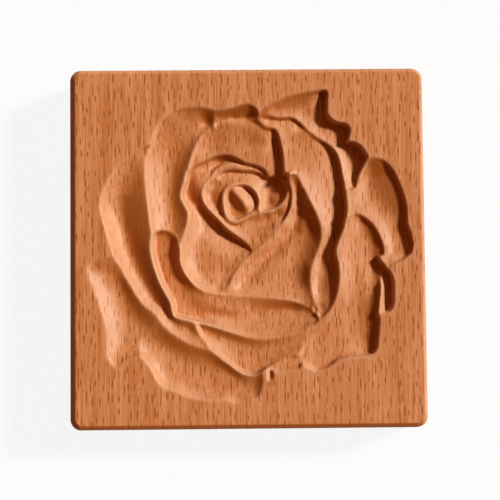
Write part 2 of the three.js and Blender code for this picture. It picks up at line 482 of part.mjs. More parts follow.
    strokes: [
      [
        [-8.2, 22.6, 4.9], [-9.2, 21, 4.8], [-10.4, 19.2, 4.7], [-11.7, 17.4, 4.6], [-12.2, 15.2, 4.6],
        [-12, 13.4, 4.7], [-10.9, 11.9, 4.8], [-9.6, 10.5, 4.9], [-8, 9, 5], [-6.2, 7.2, 5.1],
        [-4.2, 5.7, 5.3], [-2.2, 4, 5.5], [-0.2, 2.3, 5.7], [1.1, 0.6, 5.8],
      ],
      [[-6.4, 23.6, 5], [-3.6, 23.6, 5.2], [-1, 23, 5.4], [2, 22.3, 5.7], [4.4, 21.2, 5.9]],
      [
        [-9.6, 18.4, 5.8], [-10.8, 15.6, 6], [-10.4, 13.4, 6.2], [-9.2, 11.4, 6.3], [-7.8, 9.8, 6.2],
      ],
      [[-8.3, 17, 5.8], [-8.3, 13.8, 5.9], [-7.6, 11.4, 6]],
      [[-3.6, 6.2, 5.8], [-0.6, 7, 6], [2.6, 8, 6.1], [5.4, 8.8, 6.3], [8.4, 9.8, 6.3]],
      [[1.4, 3.4, 6], [4.4, 5, 6.1], [6.8, 7, 6.2]],
      [[2.4, 1.4, 5.7], [3.9, 2.6, 5.7], [5.4, 3.8, 5.6], [6.8, 5.2, 5.5], [8, 6.7, 5.4]],
      [
        [3.4, 9.6, 5.4], [5.2, 10.2, 5.3], [7, 10.6, 5.2], [9, 11.7, 5], [10.5, 13.3, 4.8],
        [11.2, 15.4, 4.6],
      ],
      [[11.6, 12.6, 5.4], [10.4, 10.4, 5.9]],
      [[5.5, 14, 6]],
    ],
  },
  {
    name: "third layer of the bud",
    wall: 0.8,
    edge: [
      [-8.2, 20.3], [-7.3, 21.5], [-6, 22.1], [-4, 22.3], [-2, 22.1], [0, 22], [2, 21.8], [3.7, 21.3],
      [5, 20.5], [6.4, 20.2], [8, 20.3], [9.6, 19.8], [10.6, 18.4], [11.1, 16.4], [10.6, 14.4],
      [9.7, 12.9], [8.4, 11.7], [6.8, 11], [5, 10.6], [3.7, 10.1], [1, 12], [-2, 15], [-5, 17],
      [-7, 18.5],
    ],
    strokes: [
      [
        [-6.7, 20.3, 6.2], [-3.6, 21, 6.5], [0, 20.9, 6.7], [3, 20.3, 7], [5.4, 18.8, 7.3],
        [7.6, 19.2, 7.3],
      ],
      [
        [-5.6, 19, 5.9], [-2, 19.5, 5.9], [1.6, 18.7, 5.8], [3.2, 16.6, 5.8], [3.9, 14, 5.9],
        [4.2, 11.6, 6],
      ],
      [[5.6, 17, 7.7], [5.2, 14.6, 7.7], [5, 12.6, 7.3]],
      [[7.6, 16.6, 7.5], [7.2, 14.2, 7.2]],
      [[9.8, 18.4, 6.9], [10, 16.4, 6.9], [9.4, 14.2, 6.5]],
    ],
  },
  {
    name: "ring round the bud's heart",
    wall: 0.9,
    edge: [
      [-7.5, 13], [-7.5, 14.6], [-7.1, 16.2], [-6.2, 17.6], [-5, 18.4], [-3.5, 18.7], [-2, 18.7],
      [-0.6, 18.3], [0.7, 17.3], [1.9, 15.8], [2.8, 14.2], [3.1, 12.4], [3.1, 10.8], [3.6, 10],
      [2.2, 9.2], [0.8, 8.5], [-0.6, 7.7], [-2, 7], [-3.4, 6.6], [-4.8, 6.9], [-5.9, 7.6], [-6.7, 8.8],
      [-7.2, 10.3],
    ],
    strokes: [
      [
        [-0.4, 17.6, 5.4], [-2, 18, 5.1], [-4, 17.9, 4.9], [-5.6, 17.1, 4.8], [-6.5, 15.4, 4.7],
        [-6.7, 13, 4.7], [-6.4, 10.8, 4.8], [-5.5, 8.8, 4.9], [-4, 7.6, 5], [-2.2, 7.9, 5.1],
        [-0.4, 8.6, 5.2], [1.6, 9.5, 5.3], [3, 10.4, 5.5],
      ],
      [[1.6, 15.4, 5.8], [2.6, 13, 5.8]],
      [[-2, 13, 5.6]],
    ],
  },
  {
    name: "heart of the bud",
    wall: 0.7,
    edge: [
      [-5.2, 16.6], [-5.8, 15.2], [-6, 13], [-5.7, 11], [-4.9, 9.2], [-3.5, 8.3], [-1.7, 8.8],
      [0.3, 9.9], [2, 10.8], [3, 12.2], [3, 14], [2.3, 15.7], [1, 17], [-0.6, 17.8], [-2.4, 18],
      [-4, 17.6],
    ],
    strokes: [
      [
        [-5, 15.2, 6.4], [-5.1, 12.8, 7], [-4.3, 10.5, 7.1], [-2.6, 9.6, 6.9], [-1, 9.9, 6.7],
        [1, 10.9, 6.5],
      ],
      [[-3.9, 13.6, 6.6], [-2.5, 11.7, 6.6]],
      [[-3.8, 16.2, 5], [-2.7, 14.7, 4.8], [-1.5, 13.1, 4.8], [-0.3, 11.7, 5.2]],
      [[-2.4, 16.8, 5.7], [-0.9, 15.4, 5.6], [0.5, 13.8, 5.8], [1.1, 12.5, 6.1]],
      [[-1.6, 17.4, 6.5], [0.6, 16.3, 7.1], [1.8, 14.6, 7.2], [2.2, 12.8, 7]],
    ],
  },
  {
    name: "bud, right half",
    wall: 0.6,
    edge: [
      [-6.8, -12.6], [-6.3, -11.2], [-5.4, -9.4], [-4.3, -7.3], [-3.1, -5.3], [-1.6, -3.5], [0, -1.9],
      [1.5, -0.5], [3.1, 0.7], [4.6, 1.8], [6.1, 3.1], [7.4, 4.5], [8.6, 6], [9.8, 7.7], [10.9, 9.5],
      [11.7, 11.4], [12.05, 13.3], [12.1, 15], [11.8, 16.8], [11.3, 18.2], [11.2, 19.6], [12.5, 20.8],
      [15, 20.5], [18, 14], [20.8, 8], [21.5, 2], [19.8, -3], [18.8, -8], [18.5, -12], [18.6, -15],
      [18.8, -18.4], [17.5, -16.8], [15.8, -15.7], [13.8, -14.9], [11.5, -14.3], [9, -13.9], [6, -13.6],
      [3, -13.4], [0, -13.2], [-3, -12.9],
    ],
    strokes: [
      [
        [12.3, 18.8, 3.5], [12.8, 16.4, 3.9], [12.8, 14, 4.2], [12.5, 12, 4.5], [11.6, 9.8, 4.8],
        [9.9, 7.1, 4.9], [7.8, 4.2, 5.1], [5.1, 1.5, 5.2], [2.1, -0.9, 5.3], [-0.6, -3.2, 5.3],
        [-2.8, -5.9, 5.3], [-4.5, -9.3, 5.2], [-5.8, -12, 4.9],
      ],
      [
        [10.7, 6.7, 5.3], [8.5, 3.7, 5.5], [5.8, 0.9, 5.6], [2.8, -1.5, 5.6], [0.1, -3.9, 5.6],
        [-2.1, -6.5, 5.6], [-3.8, -9.7, 5.4],
      ],
      [
        [12.8, 6.9, 6.8], [10.2, 3, 7.2], [7.2, 0.2, 7.2], [4.2, -2.4, 7.1], [1.6, -4.9, 7],
        [-0.7, -7.8, 6.8], [-2.3, -10.4, 6.3],
      ],
      [
        [13.9, 17.6, 3.9], [14.4, 15.2, 4.9], [14.7, 12.6, 5.8], [14.1, 9.6, 6.7], [14.2, 5, 6.9],
        [12, 1.6, 6.8], [9.2, -1.6, 6.8], [6, -4.4, 6.7],
      ],
      [[4, -7, 6.6], [9, -6, 6.7], [12.5, -1, 6.8], [14.4, 3.5, 6.7], [15, 7.5, 6.4]],
      [
        [16, 11.2, 5.2], [17.3, 8.2, 5.4], [18.4, 5.4, 5.5], [18.3, 2.2, 5.6], [17.4, -1, 5.7],
        [15.9, -5, 5.7], [15.2, -10, 5.6],
      ],
      [[-3, -11.6, 5.5], [3, -12.2, 5.4], [9, -12.6, 5.3], [14, -13.8, 5]],
      [[3, -10, 6.4], [9, -10.4, 6.3]],
      [
        [18.2, -16.6, 4.1], [17.6, -14, 4.2], [16.9, -9, 4.4], [17.3, -5, 4.5], [18.8, -1.6, 4.6],
        [19.9, 1.6, 4.4], [20, 4.8, 4.1], [19.3, 7.6, 3.8], [18, 10.8, 3.5], [16.3, 14.2, 3.3],
        [14.9, 17.2, 3.2], [13.4, 19.8, 3.2],
      ],
    ],
  },
  {
    name: "long right petal",
    wall: 1,
    edge: [
      [3.3, 36.5], [4.6, 36.8], [6.2, 36.8], [8, 36.5], [10, 36.4], [12, 36.6], [13.2, 36.3],
      [14.5, 35.4], [16, 34], [17.6, 32.5], [19.2, 31.2], [20.8, 30.2], [22.3, 29.2], [23.7, 28],
      [24.9, 26.5], [25.6, 24.8], [26.1, 22.8], [26.5, 20.5], [26.9, 18.2], [27.1, 16], [27.4, 13.7],
      [27.5, 11.3], [27.4, 9], [26.9, 7], [26.5, 5.2], [25.7, 3.2], [24.9, 1.2], [24.4, -0.5],
      [24.4, -2.2], [24.8, -4], [25.1, -6], [25.15, -8.3], [24.9, -10.8], [24.4, -13.3], [23.6, -15.7],
      [22.4, -17.8], [21, -19.3], [20, -20.2], [19.2, -19], [18.4, -16.8], [17.8, -14.5], [17.4, -12],
      [17.2, -9.8], [17.4, -7.6], [17.7, -5.5], [18.2, -3.6], [19, -1.8], [19.8, 0], [20.3, 1.6],
      [20.5, 3.3], [20.3, 5], [19.9, 6.8], [19.4, 8.6], [18.7, 10.5], [17.8, 12.5], [16.8, 14.4],
      [15.7, 16.4], [14.8, 18.2], [13.8, 20], [12.6, 20.9], [11.3, 20.3], [10.4, 20.4], [9.8, 21.4],
      [9.6, 23.2], [9.5, 25.4], [9.1, 28], [8.6, 30.3], [8.1, 32], [7.5, 33.1], [6.5, 33.4], [5.6, 33.5],
      [4.8, 34.3], [4, 35.4],
    ],
    strokes: [
      [[4.2, 36.1, 1.9], [4.7, 35, 2.1]],
      [[6.5, 35.7, 2.8], [9.5, 35.5, 3.1], [12.5, 35.4, 3.3], [14.4, 34.1, 3.4]],
      [
        [7.2, 34.4, 2.3], [9, 33, 2.4], [10.2, 30, 2.5], [10.6, 26, 2.6], [10.8, 22.5, 2.8],
        [14, 20.7, 2.9], [16.2, 16.8, 2.9], [18.2, 12.9, 3], [19.8, 9, 3.2], [20.9, 5.5, 3.5],
        [21, 3, 3.9], [20, -1, 4.4], [18.6, -5.5, 4.3], [17.9, -9.5, 4.1], [18.2, -13, 4],
        [19.2, -17, 3.7],
      ],
      [
        [13, 33.4, 2.8], [13.4, 29, 3.1], [13.8, 24, 3.3], [16.4, 20, 3.5], [18.9, 15, 3.5],
        [21.2, 9.5, 3.7],
      ],
      [
        [16.6, 32, 2.9], [17.4, 28, 3.5], [18, 23, 3.9], [20, 17, 4.1], [21.7, 12, 4.1], [22.6, 8, 4.2],
      ],
      [
        [18.6, 30.4, 3.3], [21, 28.2, 3.9], [22.6, 25, 4.7], [23.8, 20, 4.9], [24.6, 15, 4.9],
        [25, 10.5, 4.9], [24.6, 6.5, 4.8], [23, 2, 4.8], [22, -3, 4.8], [21.8, -8, 4.7],
        [21.4, -13, 4.3],
      ],
      [[21.2, -1, 5], [20, -5.5, 5], [19.6, -9, 5], [19.8, -13, 4.7], [20.2, -16.6, 4]],
      [[23.4, -3, 4.5], [23.7, -8, 4.2], [22.9, -13, 3.8], [21.5, -16.6, 3.3]],
    ],
  },
];

// Points from b towards c on the smooth curve through a, b, c and d.
function curvePoints([a, b, c, d], steps) {
  return Array.from({ length: steps }, (_, step) => {
    const t = step / steps;
    return b.map(
      (_, k) =>
        0.5 *
        (2 * b[k] +
          (c[k] - a[k]) * t +
          (2 * a[k] - 5 * b[k] + 4 * c[k] - d[k]) * t ** 2 +
          (3 * b[k] - a[k] - 3 * c[k] + d[k]) * t ** 3),
    );
  });
}

// A closed curve through the points.
function smoothLoop(points) {
  return points.flatMap((b, i) => {
    const a = points.at(i - 1);
    const c = points[(i + 1) % points.length];
    const d = points[(i + 2) % points.length];
    return b[0] === c[0] && b[1] === c[1] ? [] : curvePoints([a, b, c, d], CURVE_STEPS);
  });
}

// Places at an even gap along a stroke.
function alongStroke(stroke) {
  if (stroke.length === 1) return stroke;
  const beyond = (end, before) => end.map((value, k) => 2 * value - before[k]);
  const ends = [beyond(stroke[0], stroke[1]), ...stroke, beyond(stroke.at(-1), stroke.at(-2))];
  const places = stroke.slice(1).flatMap(([x, y], i) => {
    const length = Math.hypot(x - stroke[i][0], y - stroke[i][1]);
    return curvePoints(ends.slice(i, i + 4), Math.max(1, Math.round(length / STROKE_SPACING)));
  });
  return [...places, stroke.at(-1)];
}

function isInside(loop, x, y) {
  let inside = false;
  loop.forEach(([ax, ay], i) => {
    const [bx, by] = loop[(i + 1) % loop.length];
    if (ay > y !== by > y && x < ax + ((bx - ax) * (y - ay)) / (by - ay)) inside = !inside;
  });
  return inside;
}

function distanceToLoop(loop, x, y) {
  let nearest = Infinity;
  loop.forEach(([ax, ay], i) => {
    const [bx, by] = loop[(i + 1) % loop.length];
    const ex = bx - ax;
    const ey = by - ay;
    const along = ((x - ax) * ex + (y - ay) * ey) / (ex * ex + ey * ey);
    const t = THREE.MathUtils.clamp(along, 0, 1);
    nearest = Math.min(nearest, Math.hypot(x - ax - t * ex, y - ay - t * ey));
  });
  return nearest;
}

// Solves a square system of equations by elimination.
function solve(rows, values) {
  const size = values.length;
  for (let i = 0; i < size; i++) {
    let pivot = i;
    for (let r = i + 1; r < size; r++) {
      if (Math.abs(rows[r][i]) > Math.abs(rows[pivot][i])) pivot = r;
    }
    [rows[i], rows[pivot]] = [rows[pivot], rows[i]];
    [values[i], values[pivot]] = [values[pivot], values[i]];
    for (let r = i + 1; r < size; r++) {
      const factor = rows[r][i] / rows[i][i];
      for (let c = i; c < size; c++) rows[r][c] -= factor * rows[i][c];
      values[r] -= factor * values[i];
    }
  }
  for (let i = size - 1; i >= 0; i--) {
    for (let c = i + 1; c < size; c++) values[i] -= rows[i][c] * values[c];
    values[i] /= rows[i][i];
  }
  return values;
}

function bend(dx, dy) {
  const square = dx * dx + dy * dy;
  return square > 0 ? square * Math.log(square) : 0;
}

// The depth of a thin plate bent through the places.
function bentPlate(places) {
  const rows = places.map(([x, y]) => [...places.map(([u, v]) => bend(x - u, y - v)), 1, x, y]);
  for (const side of [() => 1, ([x]) => x, ([, y]) => y]) rows.push([...places.map(side), 0, 0, 0]);
  const weights = solve(rows, [...places.map(([, , depth]) => depth), 0, 0, 0]);
  const [level, slopeX, slopeY] = weights.slice(places.length);
  return (x, y) =>
    places.reduce((sum, [u, v], i) => sum + weights[i] * bend(x - u, y - v), level + slopeX * x + slopeY * y);
}

const petals = PETALS.map(({ name, wall, edge, strokes }) => {
  const loop = smoothLoop(edge);
  const box = new THREE.Box2().setFromPoints(loop.map(([x, y]) => new THREE.Vector2(x, y)));
  const bottom = strokes.flatMap(alongStroke);
  return { name, wall, loop, box, bottom, bottomDepth: bentPlate(bottom) };
});

function isInPetal(petal, x, y) {
  return petal.box.containsPoint(new THREE.Vector2(x, y)) && isInside(petal.loop, x, y);
}

// How deep the face is carved at a place. Each hollow's wall is steep at its outline and rounds into its bottom.
function carvedDepth(x, y) {
  let depth = 0;
  for (const petal of petals) {
    if (!isInPetal(petal, x, y)) continue;
    const t = Math.min(distanceToLoop(petal.loop, x, y) / petal.wall, 1);
    depth += (Math.max(petal.bottomDepth(x, y), 0) - depth) * (1 - (1 - t) ** WALL_POWER);
  }
  return depth;
}

// Points evenly spaced along a closed loop, each with the direction that points into the loop.
function spacedAlong(loop, spacing) {
  const turn = Math.sign(THREE.ShapeUtils.area(loop.map(([x, y]) => new THREE.Vector2(x, y))));
  const found = [];
  let due = 0;
  loop.forEach(([ax, ay], i) => {
    const [bx, by] = loop[(i + 1) % loop.length];
    const length = Math.hypot(bx - ax, by - ay);
    for (; due < length; due += spacing) {
      const t = due / length;
      const inward = [(-turn * (by - ay)) / length, (turn * (bx - ax)) / length];
      found.push({ at: [ax + t * (bx - ax), ay + t * (by - ay)], inward });
    }
    due -= length;
  });
  return found;
}

// A square lattice of places over the block's face.
function lattice(halfWidth, halfLength, spacing) {
  const places = [];
  const across = Math.ceil(halfWidth / spacing);
  const along = Math.ceil(halfLength / spacing);
  for (let i = -across; i <= across; i++) {
    for (let j = -along; j <= along; j++) places.push([(i + (j % 2) / 2) * spacing, j * spacing]);
  }
  return places;
}

// The circle through three of the points.
function circleThrough(points, a, b, c) {
  const [ax, ay] = points[a];
  const bx = points[b][0] - ax;
  const by = points[b][1] - ay;
  const cx = points[c][0] - ax;
  const cy = points[c][1] - ay;
  const twice = 2 * (bx * cy - by * cx);
  const ux = (cy * (bx * bx + by * by) - by * (cx * cx + cy * cy)) / twice;
  const uy = (bx * (cx * cx + cy * cy) - cx * (bx * bx + by * by)) / twice;
  return { corners: [a, b, c], x: ax + ux, y: ay + uy, radius: Math.hypot(ux, uy) };
}

// Joins the points into well-shaped triangles: no triangle's circle holds another point.
function joinIntoTriangles(points) {
  const far = 1000 * (WIDTH + LENGTH);
  const all = [...points, [-far, -far], [far, -far], [0, far]];
  const count = points.length;
  let triangles = [circleThrough(all, count, count + 1, count + 2)];
  points.forEach(([x, y], index) => {
    const sides = new Map();
    triangles = triangles.filter(({ corners: [a, b, c], x: cx, y: cy, radius }) => {
      if (Math.hypot(x - cx, y - cy) >= radius) return true;
      for (const [from, to] of [[a, b], [b, c], [c, a]]) {
        if (!sides.delete(to + ">" + from)) sides.set(from + ">" + to, [from, to]);
      }
      return false;
    });
    for (const [from, to] of sides.values()) triangles.push(circleThrough(all, from, to, index));
  });
  return triangles.map(({ corners }) => corners).filter((corners) => Math.max(...corners) < count);
}

// The drawing of the rose is stretched to the block it is carved in.
const everyEdge = PETALS.flatMap(({ edge }) => edge);
const stretchX = (WIDTH / 2 - SIDE_BORDER) / Math.max(...everyEdge.map(([x]) => Math.abs(x)));
const stretchY = (LENGTH / 2 - END_BORDER) / Math.max(...everyEdge.map(([, y]) => Math.abs(y)));

// One turn round the block at a distance in from its sides, moved to the right by the shift.
function turnRound(inset, z, shift) {
  const radius = Math.max(CORNER_RADIUS, 1.2 * EDGE_BEVEL);
  const turn = [];
  [[1, 1], [-1, 1], [-1, -1], [1, -1]].forEach(([sideX, sideY], corner) => {
    for (let step = 0; step <= CORNER_STEPS; step++) {
      const angle = ((corner + step / CORNER_STEPS) * Math.PI) / 2;
      const x = sideX * (WIDTH / 2 - radius) + (radius - inset) * Math.cos(angle);
      const y = sideY * (LENGTH / 2 - radius) + (radius - inset) * Math.sin(angle);
      turn.push([x + shift, y, z]);
    }
  });
  return turn;
}

// The turns from the back's flat up over the two bevels to the face's flat.
function outsideTurns() {
  const slope = EDGE_BEVEL - BEVEL_ROUNDING;
  const steps = [0, 1].flatMap((edge) =>
    Array.from({ length: ROUNDING_STEPS + 1 }, (_, step) => {
      const angle = ((edge + step / ROUNDING_STEPS) * Math.PI) / 4;
      const inset = EDGE_BEVEL - edge * slope - BEVEL_ROUNDING * Math.sin(angle);
      const rise = edge * slope + BEVEL_ROUNDING * (1 - Math.cos(angle));
      return [inset, rise, (1 - edge) * BEVEL_LEAN];
    }),
  );
  const lower = steps.map(([inset, rise, shift]) => turnRound(inset, rise, shift));
  const upper = steps.reverse().map(([inset, rise, shift]) => turnRound(inset, THICKNESS - rise, shift));
  return [...lower, ...upper];
}

// Collects places on the face, leaving out any that lies too near one already taken.
function facePlaces(border) {
  const places = border.map(([x, y]) => [x, y]);
  const take = (x, y, apart) => {
    if (places.every(([u, v]) => Math.hypot(x - u, y - v) >= apart)) places.push([x, y]);
  };
  const rows = petals.map((petal, order) => {
    const hidden = (x, y) => petals.slice(order + 1).some((later) => isInPetal(later, x, y));
    const row = spacedAlong(petal.loop, OUTLINE_SPACING / stretchX);
    return { petal, hidden, seen: row.filter(({ at: [x, y] }) => !hidden(x, y)) };
  });
  for (const { seen } of rows) {
    for (const { at: [x, y] } of seen) take(x * stretchX, y * stretchY, 0.4 * OUTLINE_SPACING);
  }
  for (const share of [0.3, 0.9]) {
    for (const { petal, hidden, seen } of rows) {
      for (const { at, inward } of seen) {
        const [x, y] = at.map((value, k) => value + share * petal.wall * inward[k]);
        if (!isInPetal(petal, x, y) || hidden(x, y)) continue;
        take(x * stretchX, y * stretchY, 0.3 * OUTLINE_SPACING);
      }
    }
  }
  for (const { petal, hidden } of rows) {
    for (const [x, y] of petal.bottom) {
      if (isInPetal(petal, x, y) && !hidden(x, y)) take(x * stretchX, y * stretchY, 0.6 * OUTLINE_SPACING);
    }
  }
  const halfWidth = WIDTH / 2 - EDGE_BEVEL - 1;
  const halfLength = LENGTH / 2 - EDGE_BEVEL - 1;
  const isOnFace = ([x, y]) => Math.abs(x) < halfWidth && Math.abs(y) < halfLength;
  for (const [x, y] of lattice(halfWidth, halfLength, FLOOR_SPACING).filter(isOnFace)) {
    if (carvedDepth(x / stretchX, y / stretchY) > 0) take(x, y, 0.6 * FLOOR_SPACING);
  }
  for (const [x, y] of lattice(halfWidth, halfLength, BORDER_SPACING).filter(isOnFace)) {
    if (carvedDepth(x / stretchX, y / stretchY) === 0) take(x, y, 0.5 * BORDER_SPACING);
  }
  return places;
}

function mouldGeometry() {
  const turns = outsideTurns();
  const around = turns[0].length;
  const places = facePlaces(turns.at(-1));
  const points = turns.flat();
  const faces = [];
  for (let i = 2; i < around; i++) faces.push([0, i, i - 1]);
  for (let turn = 0; turn < turns.length - 1; turn++) {
    for (let i = 0; i < around; i++) {
      const a = turn * around + i;
      const b = turn * around + ((i + 1) % around);
      faces.push([a, b, b + around], [a, b + around, a + around]);
    }
  }
  const first = points.length - around;
  const depths = places.map(([x, y]) => carvedDepth(x / stretchX, y / stretchY));
  const stretchDepth = CARVING_DEPTH / Math.max(...depths);
  for (let i = around; i < places.length; i++) points.push([...places[i], THICKNESS - stretchDepth * depths[i]]);
  for (const corners of joinIntoTriangles(places)) faces.push(corners.map((corner) => first + corner));
  const geometry = new THREE.BufferGeometry();
  geometry.setAttribute("position", new THREE.Float32BufferAttribute(points.flat(), 3));
  geometry.setIndex(faces.flat());
  geometry.computeVertexNormals();
  return geometry;
}

const mould = new THREE.Mesh(mouldGeometry(), new THREE.MeshStandardMaterial(BEECH));
mould.name = "mould_block";

const group = new THREE.Group();
group.name = "rose_biscuit_mould";
group.add(mould);

export default group;
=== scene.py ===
"""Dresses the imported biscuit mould: a beech block with a rose carved into its face, and its studio."""
import math
from typing import NamedTuple

import bmesh
import bpy
import numpy as np
from mathutils import Matrix, Vector


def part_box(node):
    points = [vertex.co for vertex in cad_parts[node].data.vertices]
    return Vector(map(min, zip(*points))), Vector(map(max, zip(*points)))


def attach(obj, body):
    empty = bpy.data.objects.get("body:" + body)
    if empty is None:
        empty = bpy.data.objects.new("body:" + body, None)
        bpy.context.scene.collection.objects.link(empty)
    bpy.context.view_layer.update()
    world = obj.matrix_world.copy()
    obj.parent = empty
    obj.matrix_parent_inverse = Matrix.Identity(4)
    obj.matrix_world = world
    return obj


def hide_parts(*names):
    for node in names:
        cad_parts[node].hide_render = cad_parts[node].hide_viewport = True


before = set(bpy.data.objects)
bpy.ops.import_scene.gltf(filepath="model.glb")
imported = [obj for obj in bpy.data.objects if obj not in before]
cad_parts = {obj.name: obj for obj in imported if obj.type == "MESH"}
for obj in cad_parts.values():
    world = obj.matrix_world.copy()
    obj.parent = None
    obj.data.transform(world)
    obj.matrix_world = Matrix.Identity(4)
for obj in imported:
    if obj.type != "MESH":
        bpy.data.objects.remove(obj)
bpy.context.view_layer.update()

bl_info = {
    "name": "Carved rose biscuit mould",
    "version": (1, 0, 0),
    "blender": (4, 5, 0),
    "location": "View3D > Sidebar > Mould",
    "description": "Models a beech biscuit mould with a carved rose, and its studio",
    "category": "Object",
}

MM = 0.001
BLOCK_LOW, BLOCK_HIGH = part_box("mould_block")

# How finely the block is modelled, gaps in millimetres: the lines over the rose, in its border and at the
# corners, the steps round an edge, and the steps along an outline and along a stroke.
CARVING_GAP = 0.33
BORDER_LINES = 4
CORNER_LINES = 4
ARC_STEPS = 4
SUPPORT_GAP = 0.4
CURVE_STEPS = 5
STROKE_GAP = 2.5

# How steeply a hollow's wall starts at its outline, and the least squared distance between two places.
WALL_POWER = 3
LEAST_SQUARE = 1e-12

# The paler colour laid on crests: its attribute, how far round a crest counts in rounds of sanding, and how
# soon it shows.
PALER_CREST = "paler_crest"
CREST_ROUNDS = 12
CREST_GAIN = 1.2

# The beech's figure. Lumps of grain are in millimetres across and along it, and a room holds one fleck.
WANDER_LUMP = (9.0, 45.0)
FIBRE_LUMP, FIBRE_WANDER, FIBRE_SHOW = (0.33, 12.0), 2.0, 2.4
BAND_LUMP, BAND_SHOW = (3.5, 40.0), 1.2
STREAK_START = 1.3
FLECK_ROOM, FLECK_HALF, FLECK_WANDER, FLECK_SHOW = (2.1, 4.0), (0.24, 1.5), 0.6, 1.2
SMALL_FLECK_ROOM, SMALL_FLECK_HALF, SMALL_FLECK_SHOW = (1.3, 2.3), (0.16, 0.8), 0.4
SMALL_FLECK_SHIFT = 7.3
FLECK_SCATTER = 0.9
FLECK_SHARPNESS = 2.2
SHORTEST_FLECK, FLECK_LENGTHS = 0.6, 0.8
FAINTEST_FLECK = 0.5

# The painted light on the carving's slopes: which lean brings on the painted highlight (towards the lamp)
# and the painted shade (away from it), from which lean up, and how soon a place counts as seen from above.
HIGHLIGHT_LEAN, HIGHLIGHT_START = (2.0, 1.2), 0.15
SHADE_LEAN, SHADE_START = (-2.2, -2.2), 0.12
FACE_GAIN = 5.0
SIDE_FLECK_FADE = 0.7

# The beech's gloss and relief: how much fibres and flecks change its roughness and the bump of its surface.
FIBRE_ROUGHNESS, FLECK_ROUGHNESS = 0.14, 0.2
BUMP_STRENGTH, BUMP_HEIGHT, FLECK_BUMP = 0.35, 0.04 * MM, 0.6

# How far the floor lies under the block's back.
FLOOR_DROP = 0.1 * MM


class Petal(NamedTuple):
    """One hollow of the rose, in millimetres from the middle of the face.

    edge is its outline, where a point given twice is a corner. wall is how far in from the outline the
    hollow reaches its full depth. strokes are lines that its bottom runs along, as points x, y, depth.
    """

    name: str
    wall: float
    edge: tuple
    strokes: tuple


